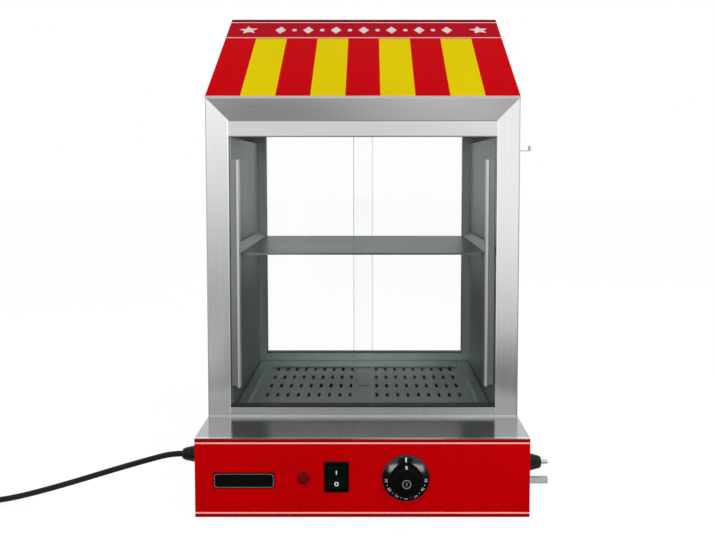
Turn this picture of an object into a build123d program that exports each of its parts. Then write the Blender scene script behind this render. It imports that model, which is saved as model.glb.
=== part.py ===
from build123d import *
import math
import os

# Hot dog steamer: a red-fronted base with a water tank, and above it a glazed steam
# cabinet with sliding glass doors, a bun shelf and a sloping striped canopy.
# Millimetres. +X is to the right seen from the front, +Y to the back, +Z up.
# The origin is on the surface that the feet stand on, below the middle of the object.

os.makedirs("parts", exist_ok=True)

# ------------------------------------------------------------------ driving dimensions
base_width = 380.0
base_depth = 400.0
base_height = 91.0
sheet = 1.2                     # all casing sheet
fold = 14.0                     # width of a stiffening fold
fit_gap = 0.3                   # between loose pieces

foot_height = 10.0
foot_d = 26.0
foot_inset_x = 30.0
foot_inset_y = 40.0
foot_back_inset = 30.0
foot_pocket = 4.0                # recess for the screw head
foot_pocket_gap = 1.0
foot_taper = 5                  # degrees
screw_d = 5.0
screw_head_d = 9.5
screw_head_h = 3.0
screw_bite = 5.0                # thread past the floor
back_screw_d = 4.0
back_screw_head = 2.0
back_screw_bite = 6.0
back_screw_low = 30.0           # lowest screw, above the deck
back_screw_high = 40.0          # highest screw, below the roof
vent_length = 50.0              # slots in the base floor
vent_width = 4.0
vent_pitch = 12.0
vent_group_x = 120.0
vent_group_y = 130.0
hole_slack = 0.4                # on the diameter of every clearance hole

deck_run = 86.0                 # open deck in front of the cabinet
surround_width = 24.8           # splayed door surround, seen from the front
surround_depth = 10.0
plinth_height = 2.4
sill_height = 10.0
door_opening_height = 333.0
header_height = 20.0
soffit_rise = 27.0
canopy_rise = 129.0
canopy_run = 218.0
canopy_overhang = 0.6
rear_wall_depth = 20.0          # rear frame to the back of the cabinet

glass_slack = 0.4               # glass to each wall of its groove
rail_wall = 1.4
groove_depth_bottom = 5.0
groove_depth_top = 9.0
track_top_height = 12.0
track_back_gap = 1.0            # top track to the inner lining
glass = 4.0
door_lift = 6.0                 # how far the glass reaches into the top groove
door_overlap = 23.3             # of the two closed doors
door_edge_gap = 0.4             # glass to the door post
glass_arris = 0.5
handle_width = 12.0
handle_plate = 2.0
handle_lip = 4.0
handle_reach = 9.0
handle_edge = 1.2               # handle to the outer edge of its glass
handle_round = 1.2
handle_low = 25.0               # above the sill
handle_high = 28.0              # below the lintel

liner_drop = 1.0                # top of the liner, below the lintel
ceiling_rise = 16.0             # ceiling above the lintel
rear_window_margin_x = 10.8
rear_window_low = 14.0          # above the deck
rear_window_high = 11.0         # above the lintel
rear_return = 8.0
seal_width = 8.0
seal_grip = 5.0

shelf_height = 199.0            # above the deck
shelf_flat_margin = 10.5        # flat part to the liner, each side
shelf_rise = 8.0                # of its sloping sides
shelf_lip = 2.4
shelf_gap = 1.5
bracket_width = 18.0
bracket_drop = 18.0

tank_depth = 61.0
tank_sheet = 1.0
tank_corner = 12.0
tank_flange = 11.5              # seat of the flange on the deck, each side
tank_front_flange = 13.0
tray_rim_gap = 2.5              # rim of the tray to the liner
tray_front_gap = 4.0
tray_back_gap = 2.0
tray_sheet = 1.0
tray_corner = 8.0
tray_drop = 5.5                 # rim down to the perforated field
tray_wall_gap = 1.5             # top of the tray's well to the tank wall
tray_well_slope = 3.0           # how far the well's walls lean in
slot_length = 20.0
slot_width = 4.0
slot_pitch_x = 14.1
slot_first_x = 18.2
slot_pitch_y = 48.9
slot_margin = 4.0
centre_slot_length = 16.0
centre_slot_width = 5.0

control_z = 45.2                # dial and indicator above the base's underside
dial_x = 49.4
dial_bezel_d = 54.0
dial_bezel_h = 2.5
bezel_chamfer = 0.8
knob_d = 36.0
knob_reach = 20.0               # front of the knob ahead of the panel
knob_gap = 0.7                  # knob to the dial bezel
knob_skirt = 5.0
knob_step = 0.8
knob_chamfer = 1.2
shaft_d = 6.0
running_gap = 0.05              # radial, of every shaft in its bush
bush_d = 10.0
thermostat_size = 36.0
thermostat_depth = 26.0
thermostat_corner = 3.0
shaft_in_body = 12.0
knob_bore_depth = 12.8

switch_x = -29.3
switch_z = 46.5
switch_rim_x = 1.85             # bezel past its cut-out, each side
switch_rim_z = 1.1
switch_bezel_t = 2.0
switch_corner = 2.0
switch_wall = 1.4
rocker_w = 21.0
rocker_side_gap = 0.25
rocker_r = 14.6                 # end arcs of the rocker about its pivot
rocker_end_gap = 0.4
rocker_pivot_y = 3.5            # behind the panel's front
rocker_crown = 7.0
rocker_valley = 4.5
rocker_back = 4.0
rocker_swing_gap = 4.0          # behind the rocker
rocker_pin_d = 3.0
rocker_pin_l = 1.0
rocker_pin_gap = 0.1            # past each end of the pin
rocker_rest_deg = 8.0           # off: the upper half stands out
switch_depth = 24.0

lamp_x = -66.8
lamp_d = 13.5
lamp_h = 3.6
lamp_round = 2.2
lamp_stem_d = 10.0
lamp_stem_l = 12.0
lamp_housing_d = 15.0
lamp_housing_l = 20.0

badge_x = -134.2
badge_z = 42.5
badge_w = 69.0
badge_h = 17.7
badge_t = 1.0
badge_corner = 1.0

gland_y = 60.0                  # behind the base's front
gland_z = 53.0                  # above the base's underside
gland_hex = 24.0                # across flats
gland_hex_l = 6.0
gland_dome_d = 20.0
gland_tip_d = 13.0
gland_reach = 26.0
gland_thread_d = 15.8
gland_thread_l = 12.0
gland_nut_hex = 22.0
gland_nut_l = 5.0
cord_d = 7.0

drain_y = 60.0
drain_z = 43.0
spout_z = 21.0
drain_flange_d = 27.0
drain_flange_l = 3.0
drain_knob_d = 24.5
drain_tip_d = 13.5
drain_knob_l = 23.4
drain_tip_reach = 32.0
drain_stem_d = 5.4
spindle_hole_gap = 1.0          # radial, in the casing
spout_d = 9.0
spout_bore_d = 6.0
spout_root_d = 8.4              # inside the casing
spout_socket = 9.0
valve_depth = 24.0              # front to back
valve_low = 14.0
valve_high = 54.0
valve_length = 58.8
valve_corner = 4.0
pipe_d = 10.0
pipe_wall = 1.0
pipe_bend = 8.0
pipe_x_inset = 10.0             # pipe axis from the valve's inner end
pipe_run_y = 25.0               # pipe axis behind the tank's front wall

hook_y = 150.0
hook_z = 417.0
hook_reach = 24.0
hook_lip = 7.0
hook_t = 1.5
hook_w = 12.0
hook_plate = 20.0

element_d = 8.0
element_half = 40.0             # half the distance between its legs
element_rise = 12.0             # axis above the tank's underside
element_stub = 16.0             # legs ahead of the tank's front wall
element_back_gap = 12.0         # bend to the tank's back wall
element_nut = 14.0
element_nut_l = 6.0

cutout_y = 30.0                 # overheat cutout, behind the tank's front wall
cutout_d = 16.0
cutout_h = 10.0
cutout_ear_d = 24.0
cutout_ear_h = 1.5
bulb_x = 60.0
bulb_d = 6.0
bulb_length = 80.0
bulb_y = 45.0                   # start of the bulb, behind the tank's front wall
capillary_d = 2.0
capillary_bend = 10.0

block_x = -135.0                # terminal block
block_size = (46.0, 22.0, 22.0)
block_corner = 2.0
block_screw_d = 4.0
block_screw_pitch = 10.0
wire_d = 2.5
wire_bend = 8.0
mains_terminal = -3.0           # terminals, to the right of the block's middle
lamp_terminal = 5.0
element_terminal = 13.0
switch_terminal = 5.0           # terminals to each side of the switch's middle
lamp_wire_rise = 1.3            # above the lamp's axis
lamp_wire_back = 6.0            # behind the gland's axis
lamp_wire_side = 1.0            # to the left of the lamp's axis
dial_wire_side = 4.0            # to the left of the dial's axis
tail_x = -150.0                 # where the mains lead drops to the terminal block
tail_bend = 20.0

coil_radius = 44.0              # first turn, at the cord's middle
coil_step = 4.5                 # change of radius in each half turn
coil_layer = 7.6                # rise of the upper layer
coil_turns_in = 4               # half turns of the lower layer
coil_turns_out = 5              # half turns of the upper layer
coil_x = -500.0
cord_rest_z = 3.7               # middle of a cord that lies on the surface
plug_length = 51.0
plug_width = 49.0
plug_taper = 8.0                # each side, at the earth pin's end
plug_corner = 7.0
relief_length = 12.0
relief_d = 11.0
relief_root = 2.0               # inside the plug's body
plug_chamfer = 2.0
pin_chamfer = 0.8
pin_pitch = 22.2
earth_pin = (4.0, 8.0, 22.7)
line_pin = (4.0, 6.35, 17.7)
line_pin_inset = 14.0           # from the plug's cord end

# ------------------------------------------------------------------ places worked out
half_w = base_width / 2
front_y = (knob_reach - base_depth) / 2
back_y = front_y + base_depth
mid_y = (front_y + back_y) / 2
base_z = foot_height
deck_z = base_z + base_height
skin_x = half_w - sheet
cabinet_y = front_y + deck_run
face_y = cabinet_y + surround_depth
jamb_x = skin_x - surround_width
sill_z = deck_z + sill_height
lintel_z = sill_z + door_opening_height
header_z = lintel_z + header_height
eave_z = header_z + soffit_rise
roof_z = eave_z + canopy_rise
ridge_y = cabinet_y + canopy_run
canopy_angle = math.atan2(canopy_rise, canopy_run)
canopy_drop = sheet / math.cos(canopy_angle)
eave_under_z = eave_z - canopy_drop
rear_y = back_y - rear_wall_depth
rear_low_z = deck_z + rear_window_low
rear_high_z = lintel_z + rear_window_high
rear_window_x = jamb_x - rear_window_margin_x
ceiling_z = lintel_z + ceiling_rise

track_y = face_y + sheet
groove_width = glass + 2 * glass_slack
track_depth = 3 * rail_wall + 2 * groove_width
track_back_y = track_y + track_depth
track_seat_z = lintel_z + track_top_height
front_glass_y = track_y + rail_wall + glass_slack
rear_glass_y = front_glass_y + groove_width + rail_wall
liner_y = track_back_y + track_back_gap
liner_z = lintel_z - liner_drop

tank_x = jamb_x - tank_flange                   # inner faces of the tank
tank_front_y = liner_y + tank_front_flange + tank_sheet
tank_back_y = rear_y - tank_flange
tank_z = deck_z - tank_depth                    # underside
tank_mid_y = (tank_front_y + tank_back_y) / 2
tank_length = tank_back_y - tank_front_y
rim_top_z = deck_z + tank_sheet + tray_sheet


def front(y):
    """Sketch plane seen from the front: sketch axes are X and Z."""
    return Plane.XZ.offset(-y)


def side(x):
    """Sketch plane seen from the right: sketch axes are Y and Z."""
    return Plane.YZ.offset(x)


def level(z):
    """Horizontal sketch plane: sketch axes are X and Y."""
    return Plane.XY.offset(z)


def save(part, name):
    part.label = name
    export_step(part, f"parts/{name}.step")


foot_places = [
    (sx * (half_w - foot_inset_x), y)
    for sx in (-1, 1)
    for y in (front_y + foot_inset_y, back_y - foot_back_inset)
]
gland_at = (front_y + gland_y, base_z + gland_z)
spindle_at = (front_y + drain_y, base_z + drain_z)
spout_at = (front_y + drain_y, base_z + spout_z)
dial_at = (dial_x, base_z + control_z)
lamp_at = (lamp_x, base_z + control_z)
switch_at = (switch_x, base_z + switch_z)

# ------------------------------------------------------------------ base casing
with BuildPart() as base_floor:
    with BuildSketch(level(base_z)):
        with Locations((0, mid_y)):
            Rectangle(2 * skin_x, base_depth - 4 * sheet)
            with GridLocations(vent_group_x, vent_group_y, 2, 2):
                with GridLocations(0, vent_pitch, 1, 4):
                    SlotOverall(vent_length, vent_width, mode=Mode.SUBTRACT)
        with Locations(*foot_places):
            Circle((screw_d + hole_slack) / 2, mode=Mode.SUBTRACT)
    extrude(amount=sheet)
save(base_floor.part, "base_floor")

with BuildPart() as base_housing:
    with BuildSketch(level(base_z)):
        with BuildLine():
            Polyline(
                (half_w, front_y + sheet),
                (half_w, back_y),
                (-half_w, back_y),
                (-half_w, front_y + sheet),
                (fold - half_w, front_y + sheet),
                (fold - half_w, front_y + 2 * sheet),
                (-skin_x, front_y + 2 * sheet),
                (-skin_x, back_y - 2 * sheet),
                (skin_x, back_y - 2 * sheet),
                (skin_x, front_y + 2 * sheet),
                (half_w - fold, front_y + 2 * sheet),
                (half_w - fold, front_y + sheet),
                close=True,
            )
        make_face()
    extrude(amount=base_height - sheet)
    with BuildSketch(side(-half_w)):
        with Locations(gland_at):
            Circle((gland_thread_d + hole_slack) / 2)
    extrude(amount=sheet, mode=Mode.SUBTRACT)
    with BuildSketch(side(skin_x)):
        with Locations(spindle_at):
            Circle(shaft_d / 2 + spindle_hole_gap)
        with Locations(spout_at):
            Circle(spout_root_d / 2 + running_gap)
    extrude(amount=sheet, mode=Mode.SUBTRACT)
save(base_housing.part, "base_housing")

with BuildPart() as base_deck:
    with BuildSketch(level(deck_z - sheet)):
        with Locations((0, mid_y)):
            Rectangle(base_width, base_depth)
        with Locations((0, tank_mid_y)):
            RectangleRounded(
                2 * (tank_x + tank_sheet + hole_slack),
                tank_length + 2 * (tank_sheet + hole_slack),
                tank_corner + tank_sheet + hole_slack,
                mode=Mode.SUBTRACT,
            )
    extrude(amount=sheet)
save(base_deck.part, "base_deck")

switch_cut_w = rocker_w + 2 * (rocker_side_gap + switch_wall)
switch_cut_h = 2 * (rocker_r + rocker_end_gap + switch_wall)
with BuildPart() as control_panel:
    with BuildSketch(front(front_y)):
        with Locations((0, base_z + (base_height - sheet) / 2)):
            Rectangle(base_width, base_height - sheet)
        with Locations(dial_at):
            Circle((bush_d + hole_slack) / 2, mode=Mode.SUBTRACT)
        with Locations(lamp_at):
            Circle((lamp_stem_d + hole_slack) / 2, mode=Mode.SUBTRACT)
        with Locations(switch_at):
            Rectangle(switch_cut_w + hole_slack, switch_cut_h + hole_slack, mode=Mode.SUBTRACT)
    extrude(amount=-sheet)
save(control_panel.part, "control_panel")

# ------------------------------------------------------------------ feet and screws
with BuildPart() as rubber_feet:
    with BuildSketch(level(base_z)):
        with Locations(*foot_places):
            Circle(foot_d / 2)
    extrude(amount=-foot_height, taper=foot_taper)
    with BuildSketch(level(0)):
        with Locations(*foot_places):
            Circle(screw_head_d / 2 + foot_pocket_gap)
    extrude(amount=foot_pocket, mode=Mode.SUBTRACT)
    with BuildSketch(level(0)):
        with Locations(*foot_places):
            Circle((screw_d + hole_slack) / 2)
    extrude(amount=foot_height, mode=Mode.SUBTRACT)
save(rubber_feet.part, "rubber_feet")

back_screw_places = [
    (sx * (skin_x - fold / 2), z)
    for sx in (-1, 1)
    for z in (deck_z + back_screw_low, (deck_z + roof_z) / 2, roof_z - back_screw_high)
]
with BuildPart() as fixing_screws:
    with BuildSketch(level(foot_pocket)):
        with Locations(*foot_places):
            Circle(screw_head_d / 2)
    extrude(amount=-screw_head_h)
    with BuildSketch(level(foot_pocket)):
        with Locations(*foot_places):
            Circle(screw_d / 2)
    extrude(amount=foot_height - foot_pocket + sheet + screw_bite)
    with BuildSketch(front(back_y)):
        with Locations(*back_screw_places):
            Circle(back_screw_d)
    extrude(amount=-back_screw_head, taper=15)
    with BuildSketch(front(back_y)):
        with Locations(*back_screw_places):
            Circle(back_screw_d / 2)
    extrude(amount=sheet + back_screw_bite)
save(fixing_screws.part, "fixing_screws")

# ------------------------------------------------------------------ cabinet shell
for hand, sign in (("left", -1), ("right", 1)):
    with BuildPart() as outer_side:
        with BuildSketch(side(skin_x if sign > 0 else -half_w)):
            with BuildLine():
                Polyline(
                    (cabinet_y, deck_z),
                    (back_y, deck_z),
                    (back_y, roof_z - sheet),
                    (ridge_y + (canopy_drop - sheet) / math.tan(canopy_angle), roof_z - sheet),
                    (cabinet_y, eave_under_z),
                    close=True,
                )
            make_face()
        extrude(amount=sheet)
    save(outer_side.part, f"outer_side_{hand}")

# The posts and the soffit meet on mitre planes through the surround's slanted corners.
mitre_run = jamb_x - skin_x
mitre_rise = header_z - eave_under_z
mitre_planes = [
    Plane(
        origin=(sign * jamb_x, face_y, header_z),
        x_dir=(0, 1, 0),
        z_dir=(sign * mitre_rise, 0, -mitre_run),
    )
    for sign in (-1, 1)
]

for hand, sign in (("left", -1), ("right", 1)):
    with BuildPart() as front_post:
        with BuildSketch(level(deck_z + plinth_height)):
            with BuildLine():
                Polyline(
                    (sign * skin_x, cabinet_y + fold),
                    (sign * skin_x, cabinet_y),
                    (sign * jamb_x, face_y),
                    (sign * jamb_x, liner_y),
                )
                offset(
                    amount=sheet,
                    side=Side.RIGHT if sign > 0 else Side.LEFT,
                    kind=Kind.INTERSECTION,
                    closed=True,
                )
            make_face()
        extrude(amount=eave_z - deck_z)
        split(bisect_by=mitre_planes[(sign + 1) // 2], keep=Keep.BOTTOM)
    save(front_post.part, f"front_post_{hand}")

with BuildPart() as soffit_panel:
    with BuildSketch(side(0)):
        with BuildLine():
            Polyline(
                (face_y, header_z),
                (cabinet_y, eave_under_z),
                (cabinet_y + fold * math.cos(canopy_angle), eave_under_z + fold * math.sin(canopy_angle)),
            )
            offset(amount=sheet, side=Side.RIGHT, kind=Kind.INTERSECTION, closed=True)
        make_face()
    extrude(amount=skin_x, both=True)
    for plane in mitre_planes:
        split(bisect_by=plane, keep=Keep.TOP)
save(soffit_panel.part, "soffit_panel")

with BuildPart() as header_bar:
    with BuildSketch(side(-jamb_x)):
        with BuildLine():
            Polyline(
                (face_y, lintel_z),
                (track_y, lintel_z),
                (track_y, track_seat_z),
                (liner_y, track_seat_z),
                (liner_y, track_seat_z + sheet),
                (track_y, track_seat_z + sheet),
                (track_y, header_z),
                (face_y, header_z),
                close=True,
            )
        make_face()
    extrude(amount=2 * jamb_x)
save(header_bar.part, "header_bar")

with BuildPart() as front_sill:
    with BuildSketch(side(-skin_x)):
        with Locations((cabinet_y, deck_z)):
            Rectangle(track_y - cabinet_y, plinth_height, align=Align.MIN)
    extrude(amount=2 * skin_x)
    with BuildSketch(side(-jamb_x)):
        with Locations((face_y, deck_z)):
            Rectangle(sheet, sill_height, align=Align.MIN)
    extrude(amount=2 * jamb_x)
save(front_sill.part, "front_sill")

with BuildPart() as canopy_panel:
    with BuildSketch(side(0)):
        with BuildLine():
            Polyline(
                (cabinet_y, eave_z),
                (cabinet_y, eave_under_z),
                (ridge_y, roof_z - canopy_drop),
                (ridge_y, roof_z),
                close=True,
            )
        make_face()
    extrude(amount=half_w + canopy_overhang, both=True)
save(canopy_panel.part, "canopy_panel")

with BuildPart() as roof_top_panel:
    with BuildSketch(side(0)):
        with BuildLine():
            Polyline(
                (ridge_y, roof_z),
                (back_y + sheet, roof_z),
                (back_y + sheet, roof_z - fold),
                (back_y, roof_z - fold),
                (back_y, roof_z - sheet),
                (ridge_y, roof_z - sheet),
                close=True,
            )
        make_face()
    extrude(amount=half_w + canopy_overhang, both=True)
save(roof_top_panel.part, "roof_top_panel")

rear_mid_z = (rear_low_z + rear_high_z) / 2
rear_window_h = rear_high_z - rear_low_z
with BuildPart() as back_panel:
    with BuildSketch(front(back_y)):
        with Locations((0, (deck_z + roof_z - sheet) / 2)):
            Rectangle(2 * skin_x, roof_z - sheet - deck_z)
        with Locations((0, rear_mid_z)):
            Rectangle(2 * rear_window_x, rear_window_h, mode=Mode.SUBTRACT)
        with Locations(*back_screw_places):
            Circle((back_screw_d + hole_slack) / 2, mode=Mode.SUBTRACT)
    extrude(amount=sheet)
    with BuildSketch(front(back_y - sheet)):
        with Locations((0, rear_mid_z)):
            Rectangle(2 * (rear_window_x + sheet), rear_window_h + 2 * sheet)
            Rectangle(2 * rear_window_x, rear_window_h, mode=Mode.SUBTRACT)
    extrude(amount=rear_return)
save(back_panel.part, "back_panel")

with BuildPart() as rear_frame:
    with BuildSketch(front(rear_y)):
        with Locations((0, (deck_z + ceiling_z + sheet) / 2)):
            Rectangle(2 * skin_x, ceiling_z + sheet - deck_z)
        with Locations((0, rear_mid_z)):
            Rectangle(2 * rear_window_x, rear_window_h, mode=Mode.SUBTRACT)
    extrude(amount=-sheet)
    with BuildSketch(front(rear_y + sheet)):
        for sign in (-1, 1):
            with Locations((sign * (skin_x - sheet / 2), (deck_z + ceiling_z + sheet) / 2)):
                Rectangle(sheet, ceiling_z + sheet - deck_z)
    extrude(amount=-fold / 2)
save(rear_frame.part, "rear_frame")

seal_y = rear_y + sheet
seal_depth = back_y - sheet - rear_return - seal_y
with BuildPart() as rear_glass_seal:
    with BuildSketch(front(seal_y)):
        with Locations((0, rear_mid_z)):
            Rectangle(2 * (rear_window_x + seal_width), rear_window_h + 2 * seal_width)
            Rectangle(2 * rear_window_x, rear_window_h, mode=Mode.SUBTRACT)
    extrude(amount=-seal_depth)
    with BuildSketch(front(seal_y + (seal_depth - glass) / 2)):
        with Locations((0, rear_mid_z)):
            Rectangle(2 * (rear_window_x + seal_grip), rear_window_h + 2 * seal_grip)
    extrude(amount=-glass, mode=Mode.SUBTRACT)
save(rear_glass_seal.part, "rear_glass_seal")

with BuildPart() as rear_glass:
    with BuildSketch(front(seal_y + (seal_depth - glass) / 2)):
        with Locations((0, rear_mid_z)):
            Rectangle(2 * (rear_window_x + seal_grip), rear_window_h + 2 * seal_grip)
    extrude(amount=-glass)
save(rear_glass.part, "rear_glass")

with BuildPart() as ceiling_panel:
    with BuildSketch(front(liner_y)):
        with BuildLine():
            Polyline(
                (-skin_x, ceiling_z - fold / 2),
                (-skin_x, ceiling_z + sheet),
                (skin_x, ceiling_z + sheet),
                (skin_x, ceiling_z - fold / 2),
            )
            offset(amount=sheet, side=Side.RIGHT, kind=Kind.INTERSECTION, closed=True)
        make_face()
    extrude(amount=liner_y - rear_y)
    with BuildSketch(front(liner_y)):
        with Locations((0, (track_seat_z + ceiling_z) / 2)):
            Rectangle(2 * jamb_x, ceiling_z - track_seat_z)
    extrude(amount=-sheet)
save(ceiling_panel.part, "ceiling_panel")

for hand, sign in (("left", -1), ("right", 1)):
    with BuildPart() as liner:
        with BuildSketch(front(liner_y)):
            with BuildLine():
                Polyline(
                    (sign * jamb_x, deck_z),
                    (sign * jamb_x, liner_z),
                    (sign * skin_x, liner_z),
                    (sign * skin_x, liner_z - sheet),
                    (sign * (jamb_x + sheet), liner_z - sheet),
                    (sign * (jamb_x + sheet), deck_z),
                    close=True,
                )
            make_face()
        extrude(amount=liner_y - rear_y)
    save(liner.part, f"liner_{hand}")

# ------------------------------------------------------------------ sliding doors
groove_ys = [track_y + rail_wall, track_y + 2 * rail_wall + groove_width]
with BuildPart() as door_track_bottom:
    with BuildSketch(side(-jamb_x)):
        with Locations((track_y, deck_z)):
            Rectangle(track_depth, sill_height, align=Align.MIN)
        with Locations(*[(y, sill_z - groove_depth_bottom) for y in groove_ys]):
            Rectangle(groove_width, groove_depth_bottom, align=Align.MIN, mode=Mode.SUBTRACT)
    extrude(amount=2 * jamb_x)
save(door_track_bottom.part, "door_track_bottom")

with BuildPart() as door_track_top:
    with BuildSketch(side(-jamb_x)):
        with Locations((track_y, lintel_z)):
            Rectangle(track_depth, track_top_height, align=Align.MIN)
        with Locations(*[(y, lintel_z) for y in groove_ys]):
            Rectangle(groove_width, groove_depth_top, align=Align.MIN, mode=Mode.SUBTRACT)
    extrude(amount=2 * jamb_x)
save(door_track_top.part, "door_track_top")

door_low_z = sill_z - groove_depth_bottom + fit_gap
door_high_z = lintel_z + door_lift
door_edge_x = jamb_x - door_edge_gap
door_width = door_edge_x + door_overlap / 2
handle_low_z = sill_z + handle_low
handle_high_z = lintel_z - handle_high
for hand, sign, glass_y in (("left", -1, front_glass_y), ("right", 1, rear_glass_y)):
    with BuildPart() as door_glass:
        with BuildSketch(front(glass_y)):
            with Locations((sign * door_edge_x - sign * door_width / 2, (door_low_z + door_high_z) / 2)):
                Rectangle(door_width, door_high_z - door_low_z)
        extrude(amount=-glass)
        chamfer(door_glass.edges().filter_by(Axis.Z), length=glass_arris)
    save(door_glass.part, f"door_{hand}_glass")

    outer_x = sign * (door_edge_x - handle_edge)
    grip_x = outer_x - sign * handle_width
    plate_y = glass_y - handle_plate
    with BuildPart() as door_handle:
        with BuildSketch(level(handle_low_z)):
            with BuildLine():
                Polyline(
                    (outer_x, glass_y),
                    (outer_x, plate_y),
                    (grip_x + sign * handle_lip, plate_y),
                    (grip_x + sign * handle_lip, plate_y - handle_reach),
                    (grip_x, plate_y - handle_reach),
                    (grip_x, glass_y),
                    close=True,
                )
            make_face()
        extrude(amount=handle_high_z - handle_low_z)
        lip_edges = door_handle.edges().filter_by(Axis.Z).group_by(Axis.Y)[0]
        fillet(lip_edges, radius=handle_round)
    save(door_handle.part, f"door_{hand}_handle")

# ------------------------------------------------------------------ shelf
shelf_z = deck_z + shelf_height
shelf_front_y = liner_y + shelf_gap
shelf_back_y = rear_y - shelf_gap
shelf_flat_x = jamb_x - shelf_flat_margin
with BuildPart() as bun_shelf:
    with BuildSketch(front(shelf_front_y)):
        with BuildLine():
            Polyline(
                (shelf_gap - jamb_x, shelf_z + shelf_rise),
                (-shelf_flat_x, shelf_z),
                (shelf_flat_x, shelf_z),
                (jamb_x - shelf_gap, shelf_z + shelf_rise),
            )
            offset(amount=sheet, side=Side.RIGHT, kind=Kind.INTERSECTION, closed=True)
        make_face()
    extrude(amount=shelf_front_y - shelf_back_y)
    with BuildSketch(front(shelf_front_y)):
        with Locations((0, shelf_z - (sheet + shelf_lip) / 2)):
            Rectangle(2 * shelf_flat_x, shelf_lip - sheet)
    extrude(amount=-sheet)
save(bun_shelf.part, "bun_shelf")

bracket_z = shelf_z - sheet
with BuildPart() as shelf_brackets:
    for sign in (-1, 1):
        with BuildSketch(front(shelf_front_y + 2 * sheet)):
            with BuildLine():
                Polyline(
                    (sign * jamb_x, bracket_z),
                    (sign * (jamb_x - bracket_width), bracket_z),
                    (sign * (jamb_x - bracket_width), bracket_z - sheet),
                    (sign * (jamb_x - sheet), bracket_z - sheet),
                    (sign * (jamb_x - sheet), bracket_z - bracket_drop),
                    (sign * jamb_x, bracket_z - bracket_drop),
                    close=True,
                )
            make_face()
        extrude(amount=shelf_front_y + 4 * sheet - shelf_back_y)
save(shelf_brackets.part, "shelf_brackets")

# ------------------------------------------------------------------ tank and tray
element_at = [(sx * element_half, tank_z + element_rise) for sx in (-1, 1)]
pipe_x = skin_x - valve_length + pipe_x_inset
pipe_y = tank_front_y + pipe_run_y
with BuildPart() as water_tank:
    with BuildSketch(level(deck_z)):
        with Locations((0, (liner_y + rear_y) / 2)):
            Rectangle(2 * (jamb_x - fit_gap), rear_y - liner_y - 2 * fit_gap)
    extrude(amount=tank_sheet)
    with BuildSketch(level(tank_z)):
        with Locations((0, tank_mid_y)):
            RectangleRounded(
                2 * (tank_x + tank_sheet), tank_length + 2 * tank_sheet, tank_corner + tank_sheet
            )
    extrude(amount=tank_depth)
    with BuildSketch(level(tank_z + tank_sheet)):
        with Locations((0, tank_mid_y)):
            RectangleRounded(2 * tank_x, tank_length, tank_corner)
    extrude(amount=tank_depth, mode=Mode.SUBTRACT)
    with BuildSketch(level(tank_z)):
        with Locations((pipe_x, pipe_y)):
            Circle(pipe_d / 2 - pipe_wall)
    extrude(amount=tank_sheet, mode=Mode.SUBTRACT)
    with BuildSketch(front(tank_front_y)):
        with Locations(*element_at):
            Circle((element_d + hole_slack) / 2)
    extrude(amount=tank_sheet, mode=Mode.SUBTRACT)
save(water_tank.part, "water_tank")

tray_x = jamb_x - tray_rim_gap
tray_front_y = liner_y + tray_front_gap
tray_back_y = rear_y - tray_back_gap
well_x = tank_x - tray_wall_gap
well_length = tank_length - 2 * tray_wall_gap
well_taper = math.degrees(math.atan2(tray_well_slope, tray_drop))
tray_z = rim_top_z - tray_drop
field_x = well_x - tray_well_slope
field_length = well_length - 2 * tray_well_slope
slot_columns = 1 + int((field_x - slot_margin - slot_width / 2 - slot_first_x) / slot_pitch_x)
slot_rows = 1 + 2 * int((field_length / 2 - slot_margin - slot_length / 2) / slot_pitch_y)
with BuildPart() as perforated_tray:
    with BuildSketch(level(rim_top_z)):
        with Locations((0, (tray_front_y + tray_back_y) / 2)):
            RectangleRounded(2 * tray_x, tray_back_y - tray_front_y, tray_corner)
    extrude(amount=-tray_sheet)
    with BuildSketch(level(rim_top_z - tray_sheet)):
        with Locations((0, tank_mid_y)):
            RectangleRounded(2 * well_x, well_length, tank_corner)
    extrude(amount=-tray_drop, taper=well_taper)
    with BuildSketch(level(rim_top_z)):
        with Locations((0, tank_mid_y)):
            RectangleRounded(2 * (well_x - tray_sheet), well_length - 2 * tray_sheet, tank_corner)
    extrude(amount=-tray_drop, taper=well_taper, mode=Mode.SUBTRACT)
    with BuildSketch(level(tray_z)):
        for sign in (-1, 1):
            first = sign * (slot_first_x + slot_pitch_x * (slot_columns - 1) / 2)
            with Locations((first, tank_mid_y)):
                with GridLocations(slot_pitch_x, slot_pitch_y, slot_columns, slot_rows):
                    SlotOverall(slot_length, slot_width, rotation=90)
        with Locations((0, tank_mid_y)):
            SlotOverall(centre_slot_length, centre_slot_width)
    extrude(amount=-2 * tray_sheet, mode=Mode.SUBTRACT)
save(perforated_tray.part, "perforated_tray")

# ------------------------------------------------------------------ heating element
stub_y = tank_front_y - tank_sheet - element_stub
bend_y = tank_back_y - element_back_gap - element_half - element_d / 2
with BuildPart() as heating_element:
    with BuildLine():
        Line((-element_half, stub_y, element_at[0][1]), (-element_half, bend_y, element_at[0][1]))
        bend = TangentArc(
            (-element_half, bend_y, element_at[0][1]),
            (element_half, bend_y, element_at[0][1]),
            tangent=(0, 1, 0),
        )
        Line(bend @ 1, (element_half, stub_y, element_at[0][1]))
    with BuildSketch(front(stub_y)):
        with Locations(element_at[0]):
            Circle(element_d / 2)
    sweep()
save(heating_element.part, "heating_element")

with BuildPart() as element_nuts:
    with BuildSketch(front(tank_front_y - tank_sheet)):
        with Locations(*element_at):
            RegularPolygon(element_nut / 2, 6, major_radius=False)
            Circle(element_d / 2 + running_gap, mode=Mode.SUBTRACT)
    extrude(amount=element_nut_l)
save(element_nuts.part, "element_nuts")

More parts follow.
